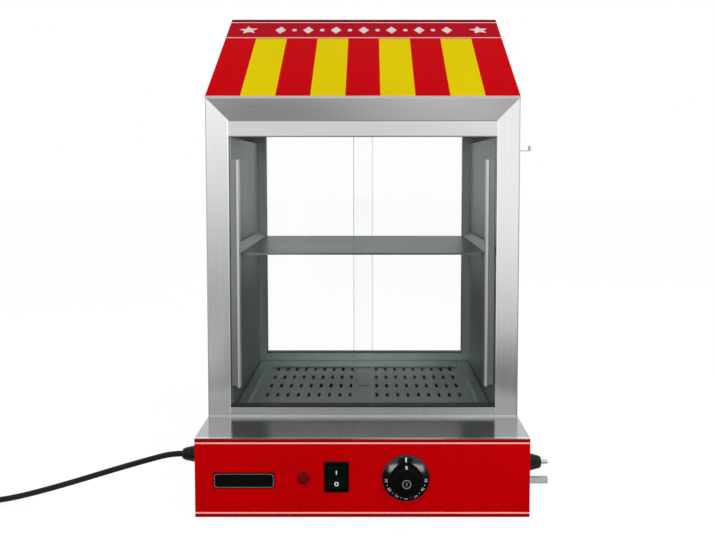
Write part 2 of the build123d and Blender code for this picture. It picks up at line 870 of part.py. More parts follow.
# ------------------------------------------------------------------ thermostat and dial
panel_back_y = front_y + sheet
shaft_back_y = panel_back_y + shaft_in_body
bush_front_y = front_y - dial_bezel_h
knob_back_y = bush_front_y - knob_gap
knob_front_y = front_y - knob_reach
with BuildPart() as thermostat_body:
    with BuildSketch(front(panel_back_y)):
        with Locations(dial_at):
            RectangleRounded(thermostat_size, thermostat_size, thermostat_corner)
    extrude(amount=-thermostat_depth)
    with BuildSketch(front(panel_back_y)):
        with Locations(dial_at):
            Circle(bush_d / 2)
    extrude(amount=panel_back_y - bush_front_y)
    with BuildSketch(front(bush_front_y)):
        with Locations(dial_at):
            Circle(shaft_d / 2 + running_gap)
    extrude(amount=bush_front_y - shaft_back_y - fit_gap, mode=Mode.SUBTRACT)
save(thermostat_body.part, "thermostat_body")

with BuildPart() as dial_bezel:
    with BuildSketch(front(front_y)):
        with Locations(dial_at):
            Circle(dial_bezel_d / 2)
            Circle((bush_d + hole_slack) / 2, mode=Mode.SUBTRACT)
    extrude(amount=dial_bezel_h)
    rim = dial_bezel.edges().group_by(Axis.Y)[0].sort_by(SortBy.LENGTH)[-1]
    chamfer(rim, length=bezel_chamfer)
save(dial_bezel.part, "dial_bezel")

shaft_front_y = knob_back_y - knob_bore_depth
with BuildPart() as thermostat_shaft:
    with BuildSketch(front(shaft_back_y)):
        with Locations(dial_at):
            Circle(shaft_d / 2)
    extrude(amount=shaft_back_y - shaft_front_y)
save(thermostat_shaft.part, "thermostat_shaft")

dial_z = dial_at[1]
knob_r = knob_d / 2
with BuildPart() as thermostat_knob:
    with BuildSketch(side(dial_x)):
        with BuildLine():
            Polyline(
                (knob_back_y, dial_z),
                (knob_back_y, dial_z + knob_r),
                (knob_back_y - knob_skirt, dial_z + knob_r),
                (knob_back_y - knob_skirt, dial_z + knob_r - knob_step),
                (knob_front_y + knob_chamfer, dial_z + knob_r - 2 * knob_step),
                (knob_front_y, dial_z + knob_r - 2 * knob_step - knob_chamfer),
                (knob_front_y, dial_z),
                close=True,
            )
        make_face()
    revolve(axis=Axis((dial_x, 0, dial_z), (0, 1, 0)))
    with BuildSketch(front(knob_back_y)):
        with Locations(dial_at):
            Circle(shaft_d / 2)
    extrude(amount=knob_bore_depth, mode=Mode.SUBTRACT)
save(thermostat_knob.part, "thermostat_knob")

# ------------------------------------------------------------------ rocker switch
pivot_y = front_y + rocker_pivot_y
cavity_w = rocker_w + 2 * rocker_side_gap
cavity_h = 2 * (rocker_r + rocker_end_gap)
bezel_front_y = front_y - switch_bezel_t
cavity_back_y = pivot_y + rocker_back + rocker_swing_gap
with BuildPart() as switch_body:
    with BuildSketch(front(front_y)):
        with Locations(switch_at):
            RectangleRounded(
                switch_cut_w + 2 * switch_rim_x, switch_cut_h + 2 * switch_rim_z, switch_corner
            )
    extrude(amount=switch_bezel_t)
    chamfer(switch_body.faces().sort_by(Axis.Y)[0].edges(), length=bezel_chamfer)
    with BuildSketch(front(front_y)):
        with Locations(switch_at):
            Rectangle(switch_cut_w, switch_cut_h)
    extrude(amount=-switch_depth)
    with BuildSketch(front(bezel_front_y)):
        with Locations(switch_at):
            Rectangle(cavity_w, cavity_h)
    extrude(amount=bezel_front_y - cavity_back_y, mode=Mode.SUBTRACT)
    with BuildSketch(side(switch_x)):
        with Locations((pivot_y, base_z + switch_z)):
            Circle(rocker_pin_d / 2 + running_gap)
    extrude(amount=rocker_w / 2 + rocker_pin_l + rocker_pin_gap, both=True, mode=Mode.SUBTRACT)
save(switch_body.part, "switch_body")

crown_z = math.sqrt(rocker_r ** 2 - rocker_crown ** 2)
heel_z = math.sqrt(rocker_r ** 2 - rocker_back ** 2)
rocker_tilt = math.radians(rocker_rest_deg)
rocker_plane = Plane(
    origin=(switch_x - rocker_w / 2, pivot_y, base_z + switch_z),
    x_dir=(0, math.cos(rocker_tilt), math.sin(rocker_tilt)),
    z_dir=(1, 0, 0),
)
with BuildPart() as switch_rocker:
    with BuildSketch(rocker_plane):
        with BuildLine():
            Line((-rocker_valley, 0), (-rocker_crown, crown_z))
            ThreePointArc((-rocker_crown, crown_z), (0, rocker_r), (rocker_back, heel_z))
            Line((rocker_back, heel_z), (rocker_back, -heel_z))
            ThreePointArc((rocker_back, -heel_z), (0, -rocker_r), (-rocker_crown, -crown_z))
            Line((-rocker_crown, -crown_z), (-rocker_valley, 0))
        make_face()
    extrude(amount=rocker_w)
    with BuildSketch(rocker_plane.offset(-rocker_pin_l)):
        Circle(rocker_pin_d / 2)
    extrude(amount=rocker_w + 2 * rocker_pin_l)
save(switch_rocker.part, "switch_rocker")

# ------------------------------------------------------------------ indicator and badge
with BuildPart() as indicator_lens:
    with BuildSketch(front(front_y)):
        with Locations(lamp_at):
            Circle(lamp_d / 2)
    extrude(amount=lamp_h)
    fillet(indicator_lens.faces().sort_by(Axis.Y)[0].edges(), radius=lamp_round)
    with BuildSketch(front(front_y)):
        with Locations(lamp_at):
            Circle(lamp_stem_d / 2)
    extrude(amount=-lamp_stem_l)
save(indicator_lens.part, "indicator_lens")

with BuildPart() as indicator_housing:
    with BuildSketch(front(panel_back_y)):
        with Locations(lamp_at):
            Circle(lamp_housing_d / 2)
    extrude(amount=-lamp_housing_l)
    with BuildSketch(front(panel_back_y)):
        with Locations(lamp_at):
            Circle(lamp_stem_d / 2 + running_gap)
    extrude(amount=sheet - lamp_stem_l, mode=Mode.SUBTRACT)
save(indicator_housing.part, "indicator_housing")

with BuildPart() as badge_plate:
    with BuildSketch(front(front_y)):
        with Locations((badge_x, base_z + badge_z)):
            RectangleRounded(badge_w, badge_h, badge_corner)
    extrude(amount=badge_t)
save(badge_plate.part, "badge_plate")

# ------------------------------------------------------------------ cable gland
gland_tip_x = -half_w - gland_reach
with BuildPart() as cable_gland:
    with BuildSketch(side(-half_w)):
        with Locations(gland_at):
            RegularPolygon(gland_hex / 2, 6, major_radius=False)
    extrude(amount=-gland_hex_l)
    with BuildSketch(side(-half_w - gland_hex_l)):
        with Locations(gland_at):
            Circle(gland_dome_d / 2)
    extrude(amount=-gland_reach / 3)
    with BuildSketch(side(-half_w - gland_hex_l - gland_reach / 3)):
        with Locations(gland_at):
            Circle(gland_dome_d / 2)
    with BuildSketch(side(gland_tip_x)):
        with Locations(gland_at):
            Circle(gland_tip_d / 2)
    loft()
    with BuildSketch(side(-half_w)):
        with Locations(gland_at):
            Circle(gland_thread_d / 2)
    extrude(amount=gland_thread_l)
    with BuildSketch(side(gland_tip_x)):
        with Locations(gland_at):
            Circle((cord_d + hole_slack) / 2)
    extrude(amount=gland_reach + gland_thread_l, mode=Mode.SUBTRACT)
save(cable_gland.part, "cable_gland")

with BuildPart() as gland_nut:
    with BuildSketch(side(-skin_x)):
        with Locations(gland_at):
            RegularPolygon(gland_nut_hex / 2, 6, major_radius=False)
            Circle(gland_thread_d / 2, mode=Mode.SUBTRACT)
    extrude(amount=gland_nut_l)
save(gland_nut.part, "gland_nut")

# ------------------------------------------------------------------ drain tap
valve_x = skin_x - valve_length
spindle_x = valve_x + 2 * pipe_x_inset
valve_back_y = front_y + drain_y + valve_depth / 2
with BuildPart() as drain_valve_body:
    with BuildSketch(side(valve_x)):
        with Locations((front_y + drain_y, base_z + (valve_low + valve_high) / 2)):
            RectangleRounded(valve_depth, valve_high - valve_low, valve_corner)
    extrude(amount=valve_length)
    with BuildSketch(side(skin_x)):
        with Locations(spindle_at):
            Circle(shaft_d / 2 + running_gap)
    extrude(amount=spindle_x - skin_x - fit_gap, mode=Mode.SUBTRACT)
    with BuildSketch(side(skin_x)):
        with Locations(spout_at):
            Circle(spout_root_d / 2 + running_gap)
    extrude(amount=-spout_socket, mode=Mode.SUBTRACT)
    with BuildSketch(side(skin_x)):
        with Locations(spout_at):
            Circle(spout_bore_d / 2)
    extrude(amount=pipe_x - skin_x, mode=Mode.SUBTRACT)
    with BuildSketch(front(valve_back_y)):
        with Locations((pipe_x, base_z + spout_z)):
            Circle(spout_bore_d / 2)
    extrude(amount=valve_depth / 2, mode=Mode.SUBTRACT)
save(drain_valve_body.part, "drain_valve_body")

knob_start_x = half_w + fit_gap
knob_end_x = knob_start_x + drain_knob_l
with BuildPart() as drain_spindle:
    with BuildSketch(side(spindle_x)):
        with Locations(spindle_at):
            Circle(shaft_d / 2)
    extrude(amount=knob_end_x - spindle_x)
    with BuildSketch(side(knob_end_x)):
        with Locations(spindle_at):
            Circle(drain_stem_d / 2)
    extrude(amount=half_w + drain_tip_reach - knob_end_x)
save(drain_spindle.part, "drain_spindle")

with BuildPart() as drain_knob:
    with BuildSketch(side(knob_start_x)):
        with Locations(spindle_at):
            Circle(drain_flange_d / 2)
    extrude(amount=drain_flange_l)
    with BuildSketch(side(knob_start_x + drain_flange_l)):
        with Locations(spindle_at):
            Circle(drain_knob_d / 2)
    with BuildSketch(side(knob_end_x)):
        with Locations(spindle_at):
            Circle(drain_tip_d / 2)
    loft()
    with BuildSketch(side(knob_start_x)):
        with Locations(spindle_at):
            Circle(shaft_d / 2)
    extrude(amount=drain_knob_l, mode=Mode.SUBTRACT)
save(drain_knob.part, "drain_knob")

with BuildPart() as drain_spout:
    with BuildSketch(side(skin_x - spout_socket)):
        with Locations(spout_at):
            Circle(spout_root_d / 2)
    extrude(amount=spout_socket + sheet)
    with BuildSketch(side(half_w)):
        with Locations(spout_at):
            Circle(spout_d / 2)
    extrude(amount=drain_tip_reach)
    with BuildSketch(side(skin_x - spout_socket)):
        with Locations(spout_at):
            Circle(spout_bore_d / 2)
    extrude(amount=spout_socket + sheet + drain_tip_reach, mode=Mode.SUBTRACT)
save(drain_spout.part, "drain_spout")

pipe_z = base_z + spout_z
with BuildPart() as drain_pipe:
    with BuildLine():
        FilletPolyline(
            (pipe_x, valve_back_y, pipe_z),
            (pipe_x, pipe_y, pipe_z),
            (pipe_x, pipe_y, tank_z),
            radius=pipe_bend,
        )
    with BuildSketch(front(valve_back_y)):
        with Locations((pipe_x, pipe_z)):
            Circle(pipe_d / 2)
            Circle(pipe_d / 2 - pipe_wall, mode=Mode.SUBTRACT)
    sweep()
save(drain_pipe.part, "drain_pipe")

# ------------------------------------------------------------------ tong hook
hook_top = base_z + hook_z
with BuildPart() as tong_hook:
    with BuildSketch(front(front_y + hook_y - hook_w / 2)):
        with BuildLine():
            Polyline(
                (half_w, hook_top + hook_plate),
                (half_w, hook_top),
                (half_w + hook_reach, hook_top),
                (half_w + hook_reach, hook_top + hook_lip),
            )
            offset(amount=hook_t, side=Side.LEFT, kind=Kind.INTERSECTION, closed=True)
        make_face()
    extrude(amount=-hook_w)
save(tong_hook.part, "tong_hook")

# ------------------------------------------------------------------ parts under the tank
cutout_at = (0, tank_front_y + cutout_y)
with BuildPart() as overheat_cutout:
    with BuildSketch(level(tank_z)):
        with Locations(cutout_at):
            SlotOverall(2 * cutout_ear_d, cutout_d)
    extrude(amount=-cutout_ear_h)
    with BuildSketch(level(tank_z)):
        with Locations(cutout_at):
            Circle(cutout_d / 2)
    extrude(amount=-cutout_h)
save(overheat_cutout.part, "overheat_cutout")

thermostat_back_y = panel_back_y + thermostat_depth
capillary_z = dial_z + thermostat_size / 8
bulb_z = tank_z - bulb_d / 2 - fit_gap / 2
bulb_start_y = tank_front_y + bulb_y
capillary_drop_y = (thermostat_back_y + stub_y) / 2
with BuildPart() as thermostat_probe:
    with BuildLine():
        FilletPolyline(
            (bulb_x, thermostat_back_y, capillary_z),
            (bulb_x, capillary_drop_y, capillary_z),
            (bulb_x, capillary_drop_y, bulb_z),
            (bulb_x, bulb_start_y, bulb_z),
            radius=capillary_bend,
        )
    with BuildSketch(front(thermostat_back_y)):
        with Locations((bulb_x, capillary_z)):
            Circle(capillary_d / 2)
    sweep()
    with BuildSketch(front(bulb_start_y)):
        with Locations((bulb_x, bulb_z)):
            Circle(bulb_d / 2)
    extrude(amount=-bulb_length)
save(thermostat_probe.part, "thermostat_probe")

# ------------------------------------------------------------------ wiring in the base
floor_top_z = base_z + sheet
block_top_z = floor_top_z + block_size[2]
gland_axis_y, gland_axis_z = gland_at
with BuildPart() as terminal_block:
    with BuildSketch(level(floor_top_z)):
        with Locations((block_x, gland_axis_y)):
            RectangleRounded(block_size[0], block_size[1], block_corner)
    extrude(amount=block_size[2])
    with BuildSketch(level(block_top_z)):
        with Locations((block_x, gland_axis_y - block_size[1] / 3)):
            with GridLocations(block_screw_pitch, 0, 4, 1):
                Circle(block_screw_d / 2)
    extrude(amount=-block_size[2] / 3, mode=Mode.SUBTRACT)
save(terminal_block.part, "terminal_block")

switch_back_y = front_y + switch_depth
lamp_back_y = panel_back_y + lamp_housing_l
element_axis_z = element_at[0][1]
switch_wire_z = base_z + switch_z + 0.6 * rocker_r
lamp_wire_z = lamp_at[1] + lamp_wire_rise
lamp_wire_y = gland_axis_y + lamp_wire_back
link_y = thermostat_back_y + 2 * wire_bend
wire_routes = [
    [
        (block_x + mains_terminal, gland_axis_y, block_top_z),
        (block_x + mains_terminal, gland_axis_y, switch_wire_z),
        (switch_x - switch_terminal, gland_axis_y, switch_wire_z),
        (switch_x - switch_terminal, switch_back_y, switch_wire_z),
    ],
    [
        (switch_x + switch_terminal, switch_back_y, lamp_wire_z),
        (switch_x + switch_terminal, link_y, lamp_wire_z),
        (dial_x - dial_wire_side, link_y, lamp_wire_z),
        (dial_x - dial_wire_side, thermostat_back_y, lamp_wire_z),
    ],
    [
        (element_half, stub_y, element_axis_z),
        (element_half, thermostat_back_y, element_axis_z),
    ],
    [
        (-element_half, stub_y, element_axis_z),
        (-element_half, gland_axis_y, element_axis_z),
        (block_x + element_terminal, gland_axis_y, element_axis_z),
        (block_x + element_terminal, gland_axis_y, block_top_z),
    ],
    [
        (block_x + lamp_terminal, lamp_wire_y, block_top_z),
        (block_x + lamp_terminal, lamp_wire_y, lamp_wire_z),
        (lamp_x - lamp_wire_side, lamp_wire_y, lamp_wire_z),
        (lamp_x - lamp_wire_side, lamp_back_y, lamp_wire_z),
    ],
]
with BuildPart() as internal_wiring:
    with BuildLine():
        FilletPolyline(
            (gland_tip_x, gland_axis_y, gland_axis_z),
            (tail_x, gland_axis_y, gland_axis_z),
            (tail_x, gland_axis_y, block_top_z),
            radius=tail_bend,
        )
    with BuildSketch(side(gland_tip_x)):
        with Locations(gland_at):
            Circle(cord_d / 2)
    sweep()
    for route in wire_routes:
        with BuildLine():
            if len(route) == 2:
                Line(*route)
            else:
                FilletPolyline(*route, radius=wire_bend)
        run = Vector(*route[1]) - Vector(*route[0])
        with BuildSketch(Plane(origin=route[0], z_dir=run)):
            Circle(wire_d / 2)
        sweep()
save(internal_wiring.part, "internal_wiring")

# ------------------------------------------------------------------ mains cord
coil_start_z = cord_rest_z
coil_end_z = cord_rest_z + coil_layer
coil_start_y = gland_axis_y
coil_y = coil_start_y - coil_radius


def cord_radii(points):
    """Fillet radius at each inner point, as large as its two runs allow."""
    corners = [Vector(*point) for point in points]
    radii = []
    for before, here, after in zip(corners, corners[1:], corners[2:]):
        shorter = min((here - before).length, (after - here).length)
        turn = math.radians((here - before).get_angle(after - here))
        radii.append(0.45 * shorter / math.tan(turn / 2))
    return radii


# From the gland the cord droops to the surface and runs to its coil.
cord_points = [
    (gland_tip_x, gland_axis_y, gland_axis_z),
    (-230, gland_axis_y, gland_axis_z),
    (-256, gland_axis_y - 0.8, 56.4),
    (-300, gland_axis_y - 2, 43.9),
    (-345, gland_axis_y - 3, 30.2),
    (-384, gland_axis_y - 3.5, 19.1),
    (-420, gland_axis_y - 3, 9.9),
    (-450, gland_axis_y - 1.5, 4.9),
    (-474, coil_start_y, coil_start_z),
    (coil_x + cord_d, coil_start_y, coil_start_z),
]
with BuildPart() as power_cord:
    with BuildLine() as cord_line:
        FilletPolyline(*cord_points, radius=cord_radii(cord_points))
    with BuildSketch(side(gland_tip_x)):
        with Locations(gland_at):
            Circle(cord_d / 2)
    sweep()
save(power_cord.part, "power_cord")

# The coil lies flat: each half turn is a semicircle between two stations, behind and in
# front of its centre. The lower layer winds in, one half turn climbs, the upper winds out.
stations = []
for turn in range(coil_turns_in + coil_turns_out + 2):
    upper = turn > coil_turns_in
    steps = turn - 1 - coil_turns_in if upper else coil_turns_in - turn
    radius = coil_radius - coil_step * (coil_turns_in - steps)
    facing = 1 if turn % 2 == 0 else -1
    stations.append(
        Vector(coil_x, coil_y + facing * radius, coil_end_z if upper else coil_start_z)
    )
coil_end_y = stations[-1].Y
exit_way = 1 if len(stations) % 2 == 0 else -1
with BuildPart() as cord_coil:
    with BuildLine() as coil_line:
        Line((coil_x + cord_d, coil_start_y, coil_start_z), stations[0])
        for turn, (near, far) in enumerate(zip(stations, stations[1:])):
            TangentArc(near, far, tangent=(-1 if turn % 2 == 0 else 1, 0, 0))
        Line(stations[-1], stations[-1] + Vector(exit_way * cord_d, 0, 0))
    with BuildSketch(side(coil_x + cord_d)):
        with Locations((coil_start_y, coil_start_z)):
            Circle(cord_d / 2)
    sweep()
save(cord_coil.part, "cord_coil")

tail_points = [
    (coil_x - cord_d, coil_end_y, coil_end_z),
    (coil_x - 31, coil_end_y, coil_end_z),
    (coil_x - 60, coil_end_y + 7, coil_end_z),
    (coil_x - 84, coil_end_y + 7, coil_end_z),
]
with BuildPart() as cord_tail:
    with BuildLine() as tail_line:
        FilletPolyline(*tail_points, radius=cord_radii(tail_points))
    with BuildSketch(side(tail_points[0][0])):
        with Locations(tail_points[0][1:]):
            Circle(cord_d / 2)
    sweep()
save(cord_tail.part, "cord_tail")

# ------------------------------------------------------------------ plug
plug_start_x, plug_y, plug_z = tail_points[-1]
plug_x = plug_start_x - relief_length
plug_end_x = plug_x - plug_length
with BuildPart() as plug_body:
    with BuildSketch(level(0)) as plug_outline:
        with BuildLine():
            Polyline(
                (plug_x, plug_y - plug_width / 2),
                (plug_x, plug_y + plug_width / 2),
                (plug_x - plug_length / 2, plug_y + plug_width / 2),
                (plug_end_x, plug_y + plug_width / 2 - plug_taper),
                (plug_end_x, plug_y - plug_width / 2 + plug_taper),
                (plug_x - plug_length / 2, plug_y - plug_width / 2),
                close=True,
            )
        make_face()
        fillet(plug_outline.vertices(), radius=plug_corner)
    extrude(amount=2 * plug_z)
    chamfer(plug_body.edges().group_by(Axis.Z)[0], length=plug_chamfer)
    with BuildSketch(side(plug_start_x)):
        with Locations((plug_y, plug_z)):
            Circle(relief_d / 2)
    extrude(amount=-relief_length - relief_root)
save(plug_body.part, "plug_body")

line_pin_x = plug_x - line_pin_inset
with BuildPart() as plug_pins:
    with BuildSketch(level(2 * plug_z)):
        with Locations((line_pin_x - pin_pitch, plug_y)):
            Rectangle(earth_pin[1], earth_pin[0])
    extrude(amount=earth_pin[2])
    with BuildSketch(level(2 * plug_z)):
        with Locations((line_pin_x, plug_y)):
            with GridLocations(0, pin_pitch, 1, 2):
                Rectangle(line_pin[0], line_pin[1])
    extrude(amount=line_pin[2])
    chamfer(plug_pins.faces().filter_by(Axis.Z).group_by(Axis.Z)[-1].edges(), length=pin_chamfer)
save(plug_pins.part, "plug_pins")

# ------------------------------------------------------------------ cord checks
cord_area = math.pi * cord_d ** 2 / 4
for name, solid, line in (
    ("power_cord", power_cord, cord_line),
    ("cord_coil", cord_coil, coil_line),
    ("cord_tail", cord_tail, tail_line),
):
    length = Wire(line.edges()).length
    ratio = solid.part.volume / length / cord_area
    print(name, "length", round(length, 1), "volume ratio", round(ratio, 4))
print("power_cord radii", [round(r, 1) for r in cord_radii(cord_points)])
print("cord_tail radii", [round(r, 1) for r in cord_radii(tail_points)])

# Least gap of the coil to itself, between points more than three diameters apart along it.
coil_wire = Wire(coil_line.edges())
coil_length = coil_wire.length
samples = 700
spots = [coil_wire.position_at(i / samples) for i in range(samples + 1)]
skip = int(3 * cord_d / (coil_length / samples))
least = min(
    (spots[i] - spots[j]).length for i in range(samples + 1) for j in range(i + skip, samples + 1)
)
print("cord_coil least gap", round(least - cord_d, 2))
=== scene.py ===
# %% [markdown]
# # A hot dog steamer, finished in Blender
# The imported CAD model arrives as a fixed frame: every sheet, glass and switch is already
# in its place, in metres. What Blender adds is the look. Each cell makes one finish or
# one small piece that the CAD model leaves plain, and says why it is made that way.

# %% Load the frame
import math

import bmesh
import bpy
import numpy as np
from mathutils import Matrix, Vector


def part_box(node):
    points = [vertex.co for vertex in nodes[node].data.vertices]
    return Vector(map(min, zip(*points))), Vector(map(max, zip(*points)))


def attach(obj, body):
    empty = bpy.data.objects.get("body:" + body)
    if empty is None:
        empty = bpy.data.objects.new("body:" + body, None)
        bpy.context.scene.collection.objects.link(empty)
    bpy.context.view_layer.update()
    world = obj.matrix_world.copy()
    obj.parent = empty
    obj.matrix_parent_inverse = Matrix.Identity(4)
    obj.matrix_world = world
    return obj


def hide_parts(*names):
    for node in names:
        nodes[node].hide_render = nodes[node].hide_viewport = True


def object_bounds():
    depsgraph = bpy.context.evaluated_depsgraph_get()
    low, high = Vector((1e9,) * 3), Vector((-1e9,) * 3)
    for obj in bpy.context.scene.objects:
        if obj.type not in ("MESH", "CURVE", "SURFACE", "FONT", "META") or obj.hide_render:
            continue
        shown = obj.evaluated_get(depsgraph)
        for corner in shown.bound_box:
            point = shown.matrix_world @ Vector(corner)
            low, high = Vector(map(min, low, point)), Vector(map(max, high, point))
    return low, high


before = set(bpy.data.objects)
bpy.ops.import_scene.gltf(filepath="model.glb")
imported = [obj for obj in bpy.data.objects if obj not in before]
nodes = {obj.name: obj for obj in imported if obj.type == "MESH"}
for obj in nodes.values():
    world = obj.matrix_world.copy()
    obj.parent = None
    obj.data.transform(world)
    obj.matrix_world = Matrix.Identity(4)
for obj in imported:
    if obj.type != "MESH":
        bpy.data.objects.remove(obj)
cad_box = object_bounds()
link = bpy.context.scene.collection.objects.link
box_corners = [tuple(round(value, 3) for value in corner) for corner in cad_box]
print("CAD nodes:", len(nodes), "box:", box_corners)

# %% [markdown]
# ## The camera
# A photograph of a product is usually taken from a little above its middle, with the
# camera almost level so that upright edges stay upright. Instead of tilting the camera
# to frame the object, the sensor is shifted, as on a view camera. The place, the lens
# and the shift below were fitted to the corners of the casing.

# %% Set the camera
camera_data = bpy.data.cameras.new("camera")
camera_data.sensor_width = 36.0
camera_data.lens = 43.02
camera_data.shift_x = -0.0161
camera_data.shift_y = -0.0726
camera = bpy.data.objects.new("camera", camera_data)
camera.location = (0.0081, -1.1404, 0.4076)
camera.rotation_euler = (math.radians(86.56), 0, 0)
link(camera)
bpy.context.scene.camera = camera
print("camera at", tuple(round(value, 3) for value in camera.location))

# %% [markdown]
# ## Shader maths as Python sums
# A shader is a graph of nodes, and a graph is hard to read as text. This class wraps one
# output socket and overloads the Python operators, so that a mask such as "within half a
# millimetre of the line" is written as a sum, and each operator quietly adds a Math node.
# The reflected forms let a number come first, as in 1 - mask.

# %% A socket with operators
class Out:
    """One output of a shader node. Arithmetic on it adds Math nodes to the same tree."""

    def __init__(self, tree, socket=None):
        self.tree = tree
        self.socket = socket

    def node(self, kind, inputs=None, output=0, **settings):
        """Adds a node: settings first, then the value or link of each named input."""
        made = self.tree.nodes.new("ShaderNode" + kind)
        for name, setting in settings.items():
            setattr(made, name, setting)
        for key, value in (inputs or {}).items():
            if isinstance(value, Out):
                self.tree.links.new(value.socket, made.inputs[key])
            else:
                made.inputs[key].default_value = value
        return Out(self.tree, made.outputs[output] if made.outputs else None)

    def math(self, operation, *values):
        """A Math node, such as the MINIMUM of two values."""
        return self.node("Math", dict(enumerate(values)), operation=operation)

    def math_of(self, operation):
        """A function of one value, such as its cosine or square root."""
        return self.math(operation, self)

    def __add__(self, other):
        return self.math("ADD", self, other)

    __radd__ = __add__

    def __sub__(self, other):
        return self.math("SUBTRACT", self, other)

    def __rsub__(self, other):
        return self.math("SUBTRACT", other, self)

    def __mul__(self, other):
        return self.math("MULTIPLY", self, other)

    __rmul__ = __mul__

    def __truediv__(self, other):
        return self.math("DIVIDE", self, other)

    def __mod__(self, other):
        return self.math("FLOORED_MODULO", self, other)

    def __abs__(self):
        return self.math("ABSOLUTE", self)

    def __gt__(self, other):
        return self.math("GREATER_THAN", self, other)

    def __lt__(self, other):
        return self.math("LESS_THAN", self, other)


# %% Colours, masks and the start and end of a material
def srgb(red, green, blue):
    """A colour as a picture holds it, 0 to 255, turned into the linear light of a shader.

    The standard curve is a straight line near black and a power of 2.4 above it.
    """
    share = np.array([red, green, blue]) / 255
    linear = np.where(share <= 0.04045, share / 12.92, ((share + 0.055) / 1.055) ** 2.4)
    return (*(float(c) for c in linear), 1.0)


def mix(mask, below, above):
    """The colour below where the mask is 0 and above where it is 1.

    Inputs 6 and 7 and output 2 are the ones that a Mix node uses for colours.
    """
    return mask.node("Mix", {0: mask, 6: below, 7: above}, output=2, data_type="RGBA")


def axes(vector):
    """The X, Y and Z of a vector, as three outputs."""
    split = vector.node("SeparateXYZ", {0: vector}).socket.node
    return [Out(vector.tree, socket) for socket in split.outputs]


def noise(place, scale, detail, stretch=(1.0, 1.0, 1.0)):
    """Fractal noise from 0 to 1. Its grains are 1 / scale metres, divided by stretch."""
    spread = place.node("Mapping", {"Vector": place, "Scale": stretch})
    return place.node("TexNoise", {"Vector": spread, "Scale": scale, "Detail": detail})


def bump(height, distance, strength):
    """A surface normal tilted by a height map whose full range is distance metres."""
    inputs = {"Height": height, "Distance": distance, "Strength": strength}
    return height.node("Bump", inputs)


def start_material(name):
    """An empty material and its Object coordinates, which are metres in the shared frame."""
    material = bpy.data.materials.new(name)
    material.use_nodes = True
    material.node_tree.nodes.clear()
    place = Out(material.node_tree).node("TexCoord", output="Object")
    return material, place


def end_material(material, place, shader=None, **looks):
    """Feeds the output from a shader, or from a Principled shader with these looks."""
    sockets = {name.replace("_", " "): value for name, value in looks.items()}
    surface = shader or place.node("BsdfPrincipled", sockets)
    place.node("OutputMaterial", {"Surface": surface})
    return material


dressed = set()


def dress(material, *names):
    """Gives CAD nodes their finish: each material slot of a node takes the material."""
    dressed.update(names)
    for name in names:
        data = nodes[name].data
        if not data.materials:
            data.materials.append(material)
        for slot in nodes[name].material_slots:
            slot.material = material
    print(material.name, "on", len(names), "nodes")


# %% [markdown]
# ## Closed surfaces from grids of points
# Every new piece below is worked out with numpy as a grid of points: its columns go once
# round the piece, and its rows lead from one end to the other. The first and the last row
# shrink to a point, or lie on each other as round a ring, so the surface is closed. One
# helper turns such grids into a mesh, merges the points that coincide, points the faces
# outwards and marks the edges that should stay crisp.

# %% Helpers that make a piece from grids
def close_mesh(mesh, crisp):
    """Merges coincident points, turns the faces outwards and marks the crisp edges."""
    work = bmesh.new()
    work.from_mesh(mesh)
    bmesh.ops.remove_doubles(work, verts=work.verts, dist=1e-6)
    bmesh.ops.dissolve_degenerate(work, edges=work.edges, dist=1e-7)
    bmesh.ops.recalc_face_normals(work, faces=work.faces)
    for face in work.faces:
        face.smooth = True
    for edge in work.edges:
        edge.smooth = edge.calc_face_angle(0.0) < math.radians(crisp)
    work.to_mesh(mesh)
    work.free()


def make_piece(name, grids, material, body, crisp=35.0):
    """Joins closed grids (rows, columns, 3) into one mesh that rides on a CAD body."""
    points, faces, count = [], [], 0
    for grid in grids:
        rows, columns, _ = grid.shape
        index = count + np.arange(rows * columns).reshape(rows, columns)
        index = np.concatenate([index, index[:, :1]], axis=1)
        corners = [index[:-1, :-1], index[:-1, 1:], index[1:, 1:], index[1:, :-1]]
        faces.append(np.stack(corners, axis=-1).reshape(-1, 4))
        points.append(grid.reshape(-1, 3))
        count += rows * columns
    mesh = bpy.data.meshes.new(name)
    mesh.from_pydata(np.concatenate(points).tolist(), [], np.concatenate(faces).tolist())
    close_mesh(mesh, crisp)
    return place_piece(name, mesh, material, body)


def place_piece(name, mesh, material, body):
    """Links a finished mesh as a piece that rides on a body and takes a slot's finish."""
    piece = bpy.data.objects.new(name, mesh)
    link(piece)
    piece.data.materials.append(material)
    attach(piece, body)
    print(name, "has", len(mesh.polygons), "faces")
    return piece


def turned(profile, origin, axis, columns, wave=None):
    """Turns (along, radius) pairs about an axis; wave(angle, row) may scale the radius.

    A point is origin + along * axis + radius * (cos(angle) * first + sin(angle) * second),
    with first and second square to the axis.
    """
    along, radius = np.array(profile, float).T
    axis = np.array(axis, float)
    first = np.array([0, 0, 1.0]) if abs(axis[2]) < 0.5 else np.array([1.0, 0, 0])
    second = np.cross(axis, first)
    angle = np.linspace(0, 2 * np.pi, columns, endpoint=False)
    ring = np.cos(angle)[:, None] * first + np.sin(angle)[:, None] * second
    reach = radius[:, None] * (wave(angle, np.arange(len(along))) if wave else 1.0)
    reach = np.broadcast_to(reach, (len(along), columns))
    return np.array(origin) + along[:, None, None] * axis + reach[:, :, None] * ring


def plate(outline, centre, across, up, thickness):
    """A flat raised shape: an outline (n, 2) in the plane of across and up, thickened.

    Its rows run from the middle of the top to its edge, down, and in along the bottom.
    """
    across, up = np.array(across, float), np.array(up, float)
    outward = np.cross(across, up)
    flat = outline[:, :1] * across + outline[:, 1:] * up
    rows = [(0.0, thickness), (1.0, thickness), (1.0, 0.0), (0.0, 0.0)]
    centre = np.array(centre)
    return np.array([centre + share * flat + rise * outward for share, rise in rows])


